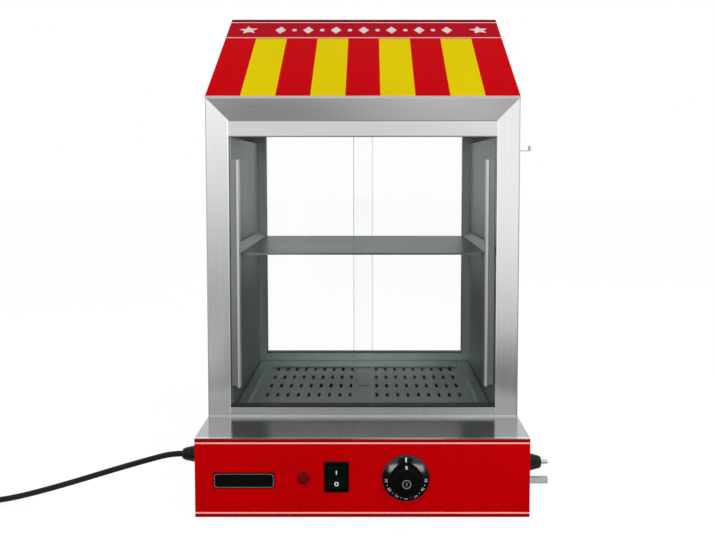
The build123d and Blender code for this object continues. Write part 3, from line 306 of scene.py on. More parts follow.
def band(outer, inner, centre, across, up, thickness):
    """A flat raised ring between two outlines that have the same number of points.

    Its rows run up the inner wall, out over the top, down the outer wall and back.
    """
    across, up = np.array(across, float), np.array(up, float)
    outward = np.cross(across, up)
    centre = np.array(centre)
    edges = [edge[:, :1] * across + edge[:, 1:] * up for edge in (inner, outer)]
    rows = [(0, 0.0), (0, thickness), (1, thickness), (1, 0.0), (0, 0.0)]
    return np.array([centre + edges[edge] + rise * outward for edge, rise in rows])


def oval(half_width, half_height, power=2.0, count=48):
    """Points round a superellipse: power 2 is an ellipse, and 6 is nearly a rectangle."""
    angle = np.linspace(0, 2 * np.pi, count, endpoint=False)
    side, rise = np.cos(angle), np.sin(angle)
    reach = (np.abs(side) ** power + np.abs(rise) ** power) ** (-1 / power)
    return np.stack([half_width * reach * side, half_height * reach * rise], axis=1)


# %% [markdown]
# ## The mains cord
# A mains lead is a fixed length of rubber-sheathed cable. It leaves the gland level,
# droops to the table and runs along it. A NURBS spline of order 3 bends as such a cable
# does, and the points below, which are those of the CAD tube, only guide it.

# %% The cord from the gland to the table
cord_diameter = 0.007
rest_z = 0.0037
gland_tip = (-0.216, -0.130, 0.063)
stretch = [
    gland_tip,
    (-0.230, -0.130, 0.063),
    (-0.256, -0.1308, 0.0564),
    (-0.300, -0.132, 0.0439),
    (-0.345, -0.133, 0.0302),
    (-0.384, -0.1335, 0.0191),
    (-0.420, -0.133, 0.0099),
    (-0.450, -0.1315, 0.0049),
    (-0.474, -0.130, rest_z),
]
print("cord leaves the gland at", gland_tip)

# %% [markdown]
# ## The coil
# What is left of the lead is wound flat, inwards on the table and outwards on top of
# that. Each half turn is a semicircle between two stations on one line, and its radius
# changes at the stations only. The spline touches a circle when its points lie on the
# polygon round it, so the semicircle's radius is divided by the cosine of half a step.

# %% The coil and the tail
coil_middle = np.array([-0.500, -0.174])
coil_top_z = rest_z + 0.0076
lower_radii = [0.044, 0.0395, 0.035, 0.0305, 0.026]
upper_radii = [0.026, 0.0305, 0.035, 0.0395, 0.044, 0.0485]
station_radii = np.array(lower_radii + upper_radii)
station_z = np.array([rest_z] * len(lower_radii) + [coil_top_z] * len(upper_radii))
points_per_half = 7

half = np.arange(len(station_radii) - 1)[:, None]
side = 1 - 2 * (half % 2)
share = (np.arange(points_per_half) + 0.5) / points_per_half
near_y = coil_middle[1] + side * station_radii[half]
far_y = coil_middle[1] - side * station_radii[half + 1]
reach = np.abs(near_y - far_y) / 2 / math.cos(math.pi / points_per_half / 2)
coil_x = coil_middle[0] - side * reach * np.sin(math.pi * share)
coil_y = (near_y + far_y) / 2 + side * reach * np.cos(math.pi * share)
coil_z = station_z[half] + share * (station_z[half + 1] - station_z[half])
coil = np.stack([coil_x, coil_y, coil_z], axis=-1).reshape(-1, 3)

plug_offset = 0.007
coil_end_y = coil_middle[1] + upper_radii[-1]
plug_y = coil_end_y + plug_offset
tail = [
    (-0.507, coil_end_y, coil_top_z),
    (-0.531, coil_end_y, coil_top_z),
    (-0.560, plug_y, coil_top_z),
    (-0.584, plug_y, coil_top_z),
]
route = np.concatenate([stretch, coil, tail])
print("cord points:", len(route))

# %% Cord rubber
def cord_rubber():
    """Black rubber, a little dusty: faint dull patches and a fine matt grain."""
    material, place = start_material("cord_rubber")
    dust = noise(place, 60.0, 4.0)
    grain = noise(place, 2500.0, 2.0)
    return end_material(
        material, place,
        Base_Color=mix(dust, srgb(8, 8, 9), srgb(20, 20, 21)),
        Roughness=0.42 + dust * 0.2,
        Specular_IOR_Level=0.22,
        Normal=bump(grain, 0.00004, 0.5),
    )


cord_finish = cord_rubber()

# %% The cord itself
cord_curve = bpy.data.curves.new("mains_cord", "CURVE")
cord_curve.dimensions = "3D"
cord_curve.bevel_depth = cord_diameter / 2
cord_curve.bevel_resolution = 4
cord_curve.resolution_u = 6
cord_curve.use_fill_caps = True
spline = cord_curve.splines.new("NURBS")
spline.points.add(len(route) - 1)
spline.points.foreach_set("co", np.column_stack([route, np.ones(len(route))]).ravel())
spline.order_u = 3
spline.use_endpoint_u = True
mains_cord = bpy.data.objects.new("mains_cord", cord_curve)
link(mains_cord)
cord_curve.materials.append(cord_finish)
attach(mains_cord, "cabinet")
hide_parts("power_cord", "cord_coil", "cord_tail")

# %% [markdown]
# ## Brushed stainless steel
# Catering steel is ground with a belt, which leaves fine parallel scratches along the
# sheet. The scratches blur reflections across them more than along them. A noise that is
# hundreds of times finer across the grain than along it gives the streaks, and the same
# streaks drive the colour, the roughness and a very shallow bump. Two masks may change a
# finish in places: one is a painted highlight, which turns an edge near white, and the
# other paints black, as painted shade at the foot of the front posts and as dark lines at
# joints.

# %% Steel
def ramp(value, start, end, low, high):
    """Goes from low to high as the value goes from start to end, and stays there."""
    return value.node("MapRange", {0: value, 1: start, 2: end, 3: low, 4: high})


def across(grain, fineness):
    """Scales for a noise that is this much finer across the grain than along it."""
    return [1.0 if axis == grain else fineness for axis in "XYZ"]


def brushed_steel(name, grain, dark, light, rough, painted_highlight=None, painted_shade_and_joints=None):
    """Ground steel: grain is the axis along which the belt ran, dark and light its tones.

    The highlight mask gives, from X, Y and Z, the share of a painted near-white highlight,
    and the shade mask the share of black, which paints shade and dark joints.
    """
    material, place = start_material(name)
    streaks = noise(place, 6.0, 4.0, across(grain, 220.0))
    wide = noise(place, 2.0, 2.0, across(grain, 14.0))
    smears = noise(place, 9.0, 3.0)
    tone = streaks * 0.55 + wide * 0.45
    colour = mix(tone, srgb(*dark), srgb(*light))
    # A painted highlight: the colour goes to near white where the highlight mask is 1.
    if painted_highlight:
        colour = mix(painted_highlight(*axes(place)), colour, srgb(252, 254, 253))
    # Painted shade and dark joints: the colour goes to black where the shade mask is 1.
    if painted_shade_and_joints:
        colour = mix(painted_shade_and_joints(*axes(place)), colour, srgb(0, 0, 0))
    return end_material(
        material, place,
        Base_Color=colour,
        Metallic=1.0,
        Roughness=rough + (streaks - 0.5) * 0.14 + (smears - 0.5) * 0.1,
        Normal=bump(streaks, 0.00002, 0.6),
    )


# %% [markdown]
# ## The front posts
# A post's grain runs upright. Its inner edge gets a painted highlight, and its foot is
# painted darker, as painted shade. Both masks are worked out from the place of a point,
# so they need no image and no extra geometry. The right post is a lighter copy of the
# same steel, which paints the brighter light on the object's right side.

# %% Front posts
arris_width = 0.0012
jamb_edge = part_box("front_post_right")[0].x + arris_width
# The foot of each post is painted darker up to these heights, as painted shade.
foot_shade_low, foot_shade_high, foot_shade_share = 0.105, 0.21, 0.3


def painted_arris_highlight(x, y, z):
    """A painted highlight on the inner edge of both posts: 1 where X, without its sign, is
    below the edge's.
    """
    return abs(x) < jamb_edge


def painted_foot_shade(x, y, z):
    """Painted shade at the foot of a post: a share of black that falls to nothing with the
    height.
    """
    return ramp(z, foot_shade_low, foot_shade_high, foot_shade_share, 0.0)


# Both posts get a painted highlight on the inner edge and painted shade at the foot.
post_marks = {"painted_highlight": painted_arris_highlight, "painted_shade_and_joints": painted_foot_shade}
post_steel = brushed_steel(
    "post_steel", "Z", (206, 207, 208), (238, 239, 240), 0.24, **post_marks
)
dress(post_steel, "front_post_left")
# The right post's lighter tones are painted light, for the brighter light on the object's
# right side.
painted_light_post_steel = brushed_steel(
    "painted_light_post_steel", "Z", (220, 221, 222), (250, 251, 252), 0.24, **post_marks
)
dress(painted_light_post_steel, "front_post_right")

# %% [markdown]
# ## Sheets, header, deck and sill
# The grain is upright on the sides and the back, and level on the roof and the long
# front pieces. Where two sheets meet at the front, a dark joint shows, or a painted
# highlight along a fold or a foot. Each such line is a mask on a height or a depth,
# measured from the box of its own piece, so it lies on the edge whatever the mesh is.

# %% Upright and level sheets
upright_steel = brushed_steel("upright_steel", "Z", (170, 171, 172), (208, 209, 210), 0.36)
dress(upright_steel, "outer_side_left", "outer_side_right", "back_panel", "base_housing")
level_tones = (194, 194, 196), (238, 238, 240)
level_steel = brushed_steel("level_steel", "X", *level_tones, 0.32)
dress(level_steel, "soffit_panel", "roof_top_panel")

# %% Header
header_low, header_high = (corner.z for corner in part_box("header_bar"))
low_joint, high_joint, joint_shade = 0.0011, 0.0013, 0.62


def header_joints(x, y, z):
    """The dark joints: 1 below the lower joint's top or above the upper one's foot."""
    return ((z < header_low + low_joint) + (z > header_high - high_joint)) * joint_shade


header_steel = brushed_steel("header_steel", "X", *level_tones, 0.32, painted_shade_and_joints=header_joints)
dress(header_steel, "header_bar")

# %% Deck
deck_front, deck_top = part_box("base_deck")[0].y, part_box("base_deck")[1].z
fold_width = 0.0034


def painted_fold_highlight(x, y, z):
    """A painted highlight along the deck's front fold: 1 within its width."""
    return y < deck_front + fold_width


deck_steel = brushed_steel(
    "deck_steel", "X", (158, 159, 160), (184, 185, 186), 0.15, painted_highlight=painted_fold_highlight
)
dress(deck_steel, "base_deck", "base_floor")

# %% Sill
sill_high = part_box("front_sill")[1].z
# The foot of the sill gets a painted highlight this high.
foot_width, foot_highlight_share = 0.0018, 0.6
top_line_width, top_line_darkness = 0.0016, 0.94


def painted_sill_foot_highlight(x, y, z):
    """A painted highlight along the foot of the sill, where it stands on the deck."""
    return (z < deck_top + foot_width) * foot_highlight_share


def sill_top_line(x, y, z):
    """The dark line along the sill's upper edge, in front of the track."""
    return (z > sill_high - top_line_width) * top_line_darkness


sill_steel = brushed_steel(
    "sill_steel", "X", (168, 169, 170), (202, 203, 204), 0.26,
    painted_highlight=painted_sill_foot_highlight, painted_shade_and_joints=sill_top_line,
)
dress(sill_steel, "front_sill")

# %% [markdown]
# ## Inside the chamber
# The lining, the frame, the shelf and the tray are steel too, in greener and darker
# tones, as in the photograph. The darker tones of the shelf, the lining, the ceiling and
# the shelf brackets are painted shade inside the chamber. A table of places and looks
# takes up what repeats. The tracks and the handles are brushed aluminium, which is made in
# the same way, and the nose of each handle has a painted highlight.

# %% Steel of the chamber, and the tracks
# The darker tones of the shelf, the lining, the ceiling and the shelf brackets paint the
# shade inside the chamber.
for places, *look in (
    (["rear_frame"], "frame_steel", "Z", (156, 166, 161), (188, 197, 193), 0.36),
    (["bun_shelf"], "shelf_steel", "X", (104, 121, 113), (132, 149, 141), 0.3),
    (["perforated_tray"], "tray_steel", "X", (176, 190, 184), (216, 226, 222), 0.32),
    (["liner_left", "liner_right"],
     "lining_steel", "Z", (126, 136, 130), (152, 162, 156), 0.4),
    (["ceiling_panel", "shelf_brackets"],
     "painted_shade_steel", "X", (92, 100, 96), (116, 124, 120), 0.38),
    (["water_tank", "heating_element"],
     "tank_steel", "Y", (120, 124, 122), (160, 164, 162), 0.35),
    (["door_track_bottom", "door_track_top"],
     "track_aluminium", "X", (120, 124, 123), (150, 154, 152), 0.4),
):
    dress(brushed_steel(*look), *places)

# %% Handles
# The nose of each handle gets a painted highlight.
nose_width, nose_highlight_share = 0.0032, 0.58
handle_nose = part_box("door_right_handle")[0].x + nose_width


def painted_nose_highlight(x, y, z):
    """A painted highlight on the nose of both handles: 1 where X, without its sign, is below
    the nose's.
    """
    return (abs(x) < handle_nose) * nose_highlight_share


handle_metal = brushed_steel(
    "handle_aluminium", "Z", (128, 132, 130), (154, 158, 156), 0.38, painted_highlight=painted_nose_highlight
)
dress(handle_metal, "door_left_handle", "door_right_handle")

# %% [markdown]
# ## The red front panel
# The panel is a printed and lacquered sheet: a clear red, a thin white line near its top
# and bottom edges, and a deeper red outside the lines. The lines are masks on the height
# of a point, so they are exact whatever the mesh is. The lacquer gets a faint unevenness,
# which breaks up its reflections as real paint does, and the canopy's print shares it.

# %% Red panel
def lacquered(material, place, colour, roughness, specular):
    """A print under lacquer, whose fine unevenness is a shallow noise in the bump."""
    return end_material(
        material, place,
        Base_Color=colour,
        Roughness=roughness,
        Specular_IOR_Level=specular,
        Normal=bump(noise(place, 420.0, 2.0), 0.00003, 0.25),
    )


def printed_red():
    """Red print with two pinstripes, worked out from the height above the table.

    The distance from the middle, less the reach of the lines, is 0 on both lines.
    """
    material, place = start_material("printed_red")
    _, _, height = axes(place)
    upper_line, lower_line, half_line = 0.0954, 0.0148, 0.0009
    middle = (upper_line + lower_line) / 2
    from_middle = abs(height - middle)
    reach = (upper_line - lower_line) / 2
    line = abs(from_middle - reach) < half_line
    border = from_middle > reach + half_line
    cloud = noise(place, 5.0, 2.0)
    red = mix(cloud, srgb(174, 0, 4), srgb(204, 0, 4))
    red = mix(border, red, srgb(150, 0, 12))
    colour = mix(line, red, srgb(255, 178, 168))
    return lacquered(material, place, colour, 0.3 + cloud * 0.12, 0.01)


red_print = printed_red()
dress(red_print, "control_panel")

# %% [markdown]
# ## The striped canopy
# The sloping front is printed with nine upright stripes, red at both ends, like a market
# awning, and a red banner across the top between two pale lines. A point's distance up
# the slope is its dot product with the slope's direction, so every edge of the print
# can be named in millimetres along the sheet, as its maker would draw it.

# %% Canopy print
canopy_low, canopy_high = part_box("canopy_panel")
canopy_half = canopy_high.x
canopy_run = canopy_high.y - canopy_low.y
low_edge_z = 0.491
canopy_rise = canopy_high.z - low_edge_z
slope_length = math.hypot(canopy_run, canopy_rise)
slope = np.array([0.0, canopy_run, canopy_rise]) / slope_length
slope_start = np.array([0.0, canopy_low.y, low_edge_z])
slope_angle = math.degrees(math.asin(slope[2]))
print("canopy slope", round(slope_length, 4), "m at", round(slope_angle, 1), "degrees")


def printed_stripes():
    """Stripes by the width; banner, lines and bare hem by the distance up the slope."""
    material, place = start_material("printed_stripes")
    width, run, height = axes(place)
    up = (run - slope_start[1]) * slope[1] + (height - slope_start[2]) * slope[2]
    stripes, stripe_top, bare_hem = 9, 0.1824, 0.0038
    lower_line_up, upper_line_up, half_line = 0.1857, 0.2419, 0.0014
    in_yellow = ((width / (2 * canopy_half) + 0.5) * stripes % 2.0) > 1.0
    in_stripes = up < stripe_top
    lower_line = abs(up - lower_line_up) < half_line
    upper_line = abs(up - upper_line_up) < half_line
    top_band = up > upper_line_up + half_line
    fade = noise(place, 3.0, 2.0)
    red = mix(fade, srgb(190, 0, 14), srgb(216, 0, 6))
    banner = mix(fade, srgb(168, 4, 26), srgb(192, 14, 34))
    yellow = mix(fade, srgb(218, 194, 0), srgb(246, 220, 0))
    colour = mix(in_yellow, red, yellow)
    colour = mix(in_stripes, banner, colour)
    colour = mix(top_band, colour, srgb(120, 8, 24))
    colour = mix(lower_line + upper_line, colour, srgb(255, 190, 190))
    colour = mix(up < bare_hem, colour, srgb(196, 190, 190))
    return lacquered(material, place, colour, 0.34 + fade * 0.12, 0.005)


canopy_print = printed_stripes()
dress(canopy_print, "canopy_panel")

# %% [markdown]
# ## Ornaments on the banner
# A pale five-pointed star stands at each end of the banner, and a row of plain lozenges
# and dots fills the space between them. They are cut from thin vinyl, so each is a real
# raised plate two tenths of a millimetre thick. A star is a polar outline whose radius
# alternates between its points and its notches.

# %% Banner ornaments
def vinyl(name, dark, light):
    """Matt vinyl film with a faint mottling."""
    material, place = start_material(name)
    mottle = noise(place, 90.0, 3.0)
    return end_material(
        material, place,
        Base_Color=mix(mottle, srgb(*dark), srgb(*light)),
        Roughness=0.45 + mottle * 0.1,
        Specular_IOR_Level=0.3,
        Normal=bump(mottle, 0.00002, 0.3),
    )


def star(radius, notch, turn):
    """Ten points: a radius for the tips and a notch radius between them."""
    angle = turn + np.arange(10) * np.pi / 5
    reach = np.where(np.arange(10) % 2 == 0, radius, notch)
    return np.stack([reach * np.cos(angle), reach * np.sin(angle)], axis=1)


pale_vinyl = vinyl("pale_vinyl", (216, 196, 200), (236, 222, 224))
vinyl_thickness = 0.0002
banner_middle = 0.213
star_x = 0.162


def on_canopy(outline, x, up):
    """A vinyl plate on the canopy, up metres along the slope."""
    spot = slope_start + up * slope + np.array([x, 0, 0])
    return plate(outline, spot, (1, 0, 0), slope, vinyl_thickness)


five_points = star(0.0138, 0.0066, 0.94 * np.pi)
stars = [on_canopy(five_points, side * star_x, banner_middle) for side in (-1, 1)]
make_piece("banner_stars", stars, pale_vinyl, "cabinet")

lozenge = np.array([(0.0075, 0.0), (0.0, 0.0125), (-0.0075, 0.0), (0.0, -0.0125)])
lozenge_xs = np.linspace(-0.117, 0.117, 7)
dot = oval(0.0032, 0.0045, count=24)
dot_xs = (lozenge_xs[:-1] + lozenge_xs[1:]) / 2
row = [on_canopy(lozenge, x, banner_middle) for x in lozenge_xs]
row += [on_canopy(dot, x, banner_middle) for x in dot_xs]
make_piece("banner_row", row, pale_vinyl, "cabinet")

# %% [markdown]
# ## Glass
# The doors are clear float glass. Seen face on they only darken a little and mirror a
# little more at a glancing angle, which Fresnel gives. Their cut edges are another
# matter: light that has travelled along the sheet leaves there, grey-green. A mask on
# the direction of the surface finds the edges, because the faces look along Y.

# %% Clear panes with grey-green edges
def clear_pane(name, tint, edge_colour, mirror):
    """Transparent faces with a Fresnel mirror, and solid-looking cut edges."""
    material, place = start_material(name)
    facing = place.node("TexCoord", output="Normal")
    _, front, _ = axes(facing)
    edge = abs(front) < 0.9
    smear = noise(place, 14.0, 3.0)
    see = place.node("BsdfTransparent", {"Color": srgb(*tint)})
    shine = place.node("BsdfAnisotropic", {"Roughness": 0.03 + smear * 0.03})
    angle = place.node("Fresnel", {"IOR": 1.3})
    face = place.node("MixShader", {0: angle * mirror, 1: see, 2: shine})
    edge_tone = mix(smear, srgb(*edge_colour), srgb(150, 162, 156))
    rim = place.node("BsdfPrincipled", {"Base Color": edge_tone, "Roughness": 0.25})
    return end_material(material, place, place.node("MixShader", {0: edge, 1: face, 2: rim}))


door_pane = clear_pane("door_pane", (254.5, 255, 254.7), (104, 118, 112), 0.5)
dress(door_pane, "door_left_glass", "door_right_glass")
rear_pane = clear_pane("rear_pane", (255, 255, 255), (150, 168, 160), 0.3)
dress(rear_pane, "rear_glass")

# %% [markdown]
# ## Plastics and rubber
# Black plastic is never quite black: mould grain, dust and finger marks lift it in
# patches. One recipe serves all of them, each with its own tones, gloss and grain.

# %% Moulded plastic
def moulded(name, dark, light, rough, specular=0.4, grain_depth=0.00003):
    """Moulded plastic or rubber: two near tones in patches, and a fine moulded grain."""
    material, place = start_material(name)
    patches = noise(place, 45.0, 4.0)
    grain_size = 0.0006
    grain = noise(place, 1 / grain_size, 2.0)
    return end_material(
        material, place,
        Base_Color=mix(patches, srgb(*dark), srgb(*light)),
        Roughness=rough + (patches - 0.5) * 0.12,
        Specular_IOR_Level=specular,
        Normal=bump(grain, grain_depth, 0.4),
    )


# %% Plastic and rubber pieces
gloss_black = moulded("gloss_black", (5, 5, 6), (10, 10, 11), 0.14, 0.5, 0.00001)
dress(gloss_black, "dial_bezel")
cable_black = moulded("cable_black", (6, 6, 8), (15, 15, 17), 0.42, 0.25)
dress(cable_black, "cable_gland", "gland_nut", "drain_knob", "plug_body")
for places, *look in (
    (["switch_body"], "satin_black", (6, 6, 8), (12, 12, 14), 0.3, 0.06),
    (["thermostat_knob"], "matt_black", (4, 4, 7), (13, 13, 16), 0.5, 0.06),
    (["switch_rocker"], "rocker_green", (1, 12, 7), (3, 24, 15), 0.2, 0.05, 0.00001),
    (["badge_plate"], "badge_black", (8, 8, 9), (18, 18, 19), 0.22, 0.1, 0.00001),
    (["rubber_feet"], "soft_rubber", (18, 18, 18), (34, 34, 33), 0.7),
    (["rear_glass_seal"], "grey_seal", (84, 92, 88), (104, 112, 108), 0.6, 0.1),
    (["internal_wiring"], "wire_sleeve", (44, 60, 120), (64, 84, 150), 0.45),
    (["indicator_housing", "terminal_block"],
     "off_white", (214, 214, 208), (236, 236, 231), 0.4),
    (["drain_spout", "thermostat_body", "drain_valve_body"],
     "light_grey", (176, 177, 178), (204, 205, 206), 0.35),
):
    dress(moulded(*look), *places)

# %% [markdown]
# ## Small metal parts
# Screws, spindles, nuts and the tong hook are plated with zinc, and the pins of the plug
# and the drain pipe are brass. Both are drawn or turned metal with fine lines, so the
# brushed steel recipe serves them with other tones.

# %% Zinc and brass
zinc = brushed_steel("zinc", "X", (176, 178, 182), (214, 216, 220), 0.28)
dress(zinc, "fixing_screws", "element_nuts", "drain_spindle", "thermostat_shaft")
dress(zinc, "thermostat_probe", "overheat_cutout", "tong_hook")
brass = brushed_steel("brass", "Z", (176, 140, 70), (214, 178, 100), 0.3)
dress(brass, "plug_pins", "drain_pipe")

# %% [markdown]
# ## The indicator lens
# A neon indicator has a ribbed lens: rings that are moulded into it spread the light
# sideways. The distance from the lamp's axis, by Pythagoras, gives both the rings of the
# bump and the tones, dark round the rim and a little lighter over the lamp.

# %% Indicator lens
lens_low, lens_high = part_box("indicator_lens")
lens_x, lens_z = (lens_low.x + lens_high.x) / 2, (lens_low.z + lens_high.z) / 2


def ribbed_lens():
    """Dark red plastic: ribs are the cosine of the distance from the axis, over a pitch."""
    material, place = start_material("ribbed_lens")
    rib_pitch, core_radius = 0.0011, 0.0024
    x, _, z = axes(place)
    from_axis = ((x - lens_x) * (x - lens_x) + (z - lens_z) * (z - lens_z)).math_of("SQRT")
    ribs = (from_axis * (2 * math.pi / rib_pitch)).math_of("COSINE")
    haze = noise(place, 300.0, 2.0)
    core = mix(haze, srgb(118, 4, 34), srgb(104, 4, 28))
    rim = mix(haze, srgb(92, 0, 6), srgb(110, 0, 8))
    return end_material(
        material, place,
        Base_Color=mix(from_axis > core_radius, core, rim),
        Roughness=0.16 + haze * 0.08,
        Specular_IOR_Level=0.12,
        Normal=bump(ribs, 0.0001, 0.4),
    )


lens_finish = ribbed_lens()
dress(lens_finish, "indicator_lens")

# %% [markdown]
# ## The dial
# Behind the knob sits a shallow black cone. It is turned, so it is a profile of radius
# and height carried round the spindle. The slope matters: it tilts the surface outwards,
# so each part of the ring mirrors a different part of the room, and bright patches
# appear at its upper left and right. Plain figures are set round its lower half.

# %% Dial cone
dial_low, dial_high = np.array(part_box("dial_bezel"))
dial = (dial_low + dial_high) / 2
dial[1] = dial_high[1]
toward = np.array([0.0, -1.0, 0.0])
dial_outer = (dial_high[0] - dial_low[0]) / 2
spindle_hole, cone_inner, cone_outer = 0.0052, 0.0180, dial_outer - 0.0008
cone_top, cone_foot = 0.0025, 0.0010
cone_profile = [
    (0.0, spindle_hole),
    (cone_top, spindle_hole),
    (cone_top, cone_inner - 0.0006),
    (cone_top - 0.0001, cone_inner),
    (cone_foot, cone_outer),
    (cone_foot - 0.0003, dial_outer - 0.0002),
    (cone_foot - 0.0006, dial_outer),
    (0.0, dial_outer),
    (0.0, spindle_hole),
]
cone_grid = turned(cone_profile, dial, toward, 96)
dial_cone = make_piece("dial_cone", [cone_grid], gloss_black, "cabinet")
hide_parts("dial_bezel")

# %% [markdown]
# ## Figures and ticks
# The figures are printed in white ink. A text curve gives their outlines and becomes a
# mesh a tenth of a millimetre thick, whose points are then moved onto the cone. Each
# figure stands on a radius with its head towards the knob.

# %% Flat figures
def figures(text, size, thickness):
    """Points and faces of flat figures, centred on the origin and lying in the XY plane."""
    curve = bpy.data.curves.new("figures", "FONT")
    curve.body, curve.size, curve.extrude = text, size, thickness / 2
    curve.align_x, curve.align_y = "CENTER", "CENTER"
    curve.resolution_u = 3
    carrier = bpy.data.objects.new("figures", curve)
    link(carrier)
    bpy.context.view_layer.update()
    final = carrier.evaluated_get(bpy.context.evaluated_depsgraph_get())
    mesh = bpy.data.meshes.new_from_object(final)
    points = np.empty(len(mesh.vertices) * 3)
    mesh.vertices.foreach_get("co", points)
    faces = [tuple(face.vertices) for face in mesh.polygons]
    bpy.data.objects.remove(carrier)
    bpy.data.curves.remove(curve)
    bpy.data.meshes.remove(mesh)
    return points.reshape(-1, 3), faces


def cone_frame(clock, radius):
    """Spot on the cone at a clockwise angle in degrees, and its axes there.

    The axes point round the dial, down the cone's slope and square out of it.
    """
    turn = math.radians(clock)
    radial = np.array([math.sin(turn), 0.0, math.cos(turn)])
    fall = (cone_top - cone_foot) / (cone_outer - cone_inner)
    outward = (radial - fall * toward) / math.hypot(1, fall)
    height = cone_top - (radius - cone_inner) * fall
    spot = dial + height * toward + radius * radial
    normal = (toward + fall * radial) / math.hypot(1, fall)
    return spot, np.cross(outward, normal), outward, normal


# %% Figures on the dial
print_white = vinyl("print_white", (214, 214, 212), (238, 238, 236))
ink = 0.00012
figure_radius, figure_height = 0.0228, 0.0046
first_figure, figure_step, figure_count = 30, 10, 7
first_clock, clock_step = 96, 28
points, faces = [], []
for step in range(figure_count):
    clock = first_clock + clock_step * step
    spot, around, outward, normal = cone_frame(clock, figure_radius)
    shape, shape_faces = figures(str(first_figure + figure_step * step), figure_height, ink)
    count = sum(len(group) for group in points)
    turn_in = np.stack([-around, -outward, normal])
    points.append(spot + ink / 2 * normal + shape @ turn_in)
    faces += [tuple(count + corner for corner in face) for face in shape_faces]
figure_mesh = bpy.data.meshes.new("dial_figures")
figure_mesh.from_pydata(np.concatenate(points).tolist(), [], faces)
close_mesh(figure_mesh, 35.0)
place_piece("dial_figures", figure_mesh, print_white, "cabinet")

# %% Ticks on the dial
off_radius = 0.0214
spot, around, outward, _ = cone_frame(0, off_radius)
ticks = [plate(oval(0.0009, 0.0027, 5.0, 24), spot, around, outward, ink)]
for step in range(figure_count - 1):
    clock = first_clock + clock_step * (step + 0.5)
    spot, around, outward, _ = cone_frame(clock, figure_radius)
    ticks.append(plate(oval(0.0006, 0.0006, 2.0, 12), spot, around, outward, ink))
make_piece("dial_ticks", ticks, print_white, "cabinet")

# %% [markdown]
# ## Marks on the knob and the switch
# The knob has a white line on its rim, which points at the scale, and a grey ring with a
# bar on its face. The rocker has a bar for on and a ring for off. All are thin plates
# laid on the surfaces they mark, and they ride on the body that turns or tilts.

# %% Knob marks
knob_low, knob_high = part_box("thermostat_knob")
knob_face = np.array([dial[0], knob_low.y, dial[2]])
rim_low, rim_high = 0.0172, 0.0164
rim_start, rim_end = knob_high.y - 0.0056, knob_low.y + 0.0012
rim_run = np.array([0.0, rim_end - rim_start, rim_high - rim_low])
rim_way = rim_run / np.linalg.norm(rim_run)
rim_radius = (rim_low + rim_high) / 2
rim_middle = np.array([dial[0], (rim_start + rim_end) / 2, dial[2] + rim_radius])
pointer = plate(oval(0.0012, 0.0046, 6.0, 24), rim_middle, (1, 0, 0), -rim_way, ink)
make_piece("knob_pointer", [pointer], print_white, "temperature_knob")

print_grey = vinyl("print_grey", (120, 121, 122), (146, 147, 148))
upright = (1, 0, 0), (0, 0, 1)
ring = band(oval(0.0050, 0.0050), oval(0.0040, 0.0040), knob_face, *upright, ink)
bar = plate(oval(0.0006, 0.0021, 4.0, 24), knob_face, *upright, ink)
make_piece("knob_symbol", [ring, bar], print_grey, "temperature_knob")

# %% Rocker marks
rest_tilt = math.radians(8.0)
pivot = np.array([-0.0293, -0.1865, 0.0565])
deep = np.array([0.0, math.cos(rest_tilt), math.sin(rest_tilt)])
high = np.array([0.0, -math.sin(rest_tilt), math.cos(rest_tilt)])
valley, crown, crown_height = 0.0045, 0.0070, 0.0128
lean = (crown - valley) / crown_height
mark_height = 0.0071


def on_rocker(side):
    """Spot and axes on the upper (1) or lower (-1) half, which leans out from the valley."""
    spot = pivot - (valley + mark_height * lean) * deep + side * mark_height * high
    return spot, (1, 0, 0), (high - side * lean * deep) / math.hypot(1, lean)


on_bar = plate(oval(0.0007, 0.0030, 5.0, 24), *on_rocker(1), ink)
off_ring = band(oval(0.0025, 0.0025), oval(0.0013, 0.0013), *on_rocker(-1), ink)
make_piece("rocker_marks", [on_bar, off_ring], print_white, "power_rocker")

# %% [markdown]
# ## Cable gland and tap knob
# The gland is a hexagonal nut that runs into a ribbed, tapering sleeve, which keeps the
# cord from kinking. A hexagon's radius at an angle is its apothem over a cosine, so nut
# and sleeve are one turned surface whose radius is scaled round the nut. The tap knob is
# turned the same way, with shallow flutes for the fingers.

# %% Gland with its sleeve
casing_x = -0.190
gland_root = np.array([casing_x, gland_tip[1], gland_tip[2]])
nut_length, nut_apothem, bore = 0.006, 0.012, cord_diameter / 2 + 0.0002
sleeve_length = gland_root[0] - gland_tip[0] - nut_length
sleeve_root, sleeve_taper = 0.0100, 0.0032
gland_profile = [
    (0.0, bore),
    (0.0, nut_apothem * 0.97),
    (0.0007, nut_apothem),
    (nut_length - 0.0007, nut_apothem),
    (nut_length, nut_apothem * 0.97),
    (nut_length, sleeve_root),
]
ribs, ribs_start, ribs_share = 6, 0.08, 0.86
pitch = sleeve_length * ribs_share / ribs
for rib in range(ribs):
    share = rib / ribs
    start = nut_length + sleeve_length * (ribs_start + ribs_share * share)
    reach = sleeve_root - sleeve_taper * share**1.5
    gland_profile += [
        (start, reach),
        (start + 0.45 * pitch, reach - 0.0001),
        (start + 0.55 * pitch, reach - 0.0009),
        (start + 0.92 * pitch, reach - 0.0010),
    ]
tip = nut_length + sleeve_length
gland_profile += [(tip - 0.0008, 0.0064), (tip, 0.0058), (tip, bore), (0.0, bore)]
nut_rows = np.array([0, 1, 1, 1, 1] + [0] * (len(gland_profile) - 5))


def hexagon(angle, rows):
    """Scales the nut's rows by 1 / cos(angle from the nearest flat), with blunt corners."""
    blunt = 1.12
    from_flat = (angle + np.pi / 6) % (np.pi / 3) - np.pi / 6
    six = np.minimum(1 / np.cos(from_flat), blunt)
    return np.where(nut_rows[rows][:, None] == 1, six[None, :], 1.0)


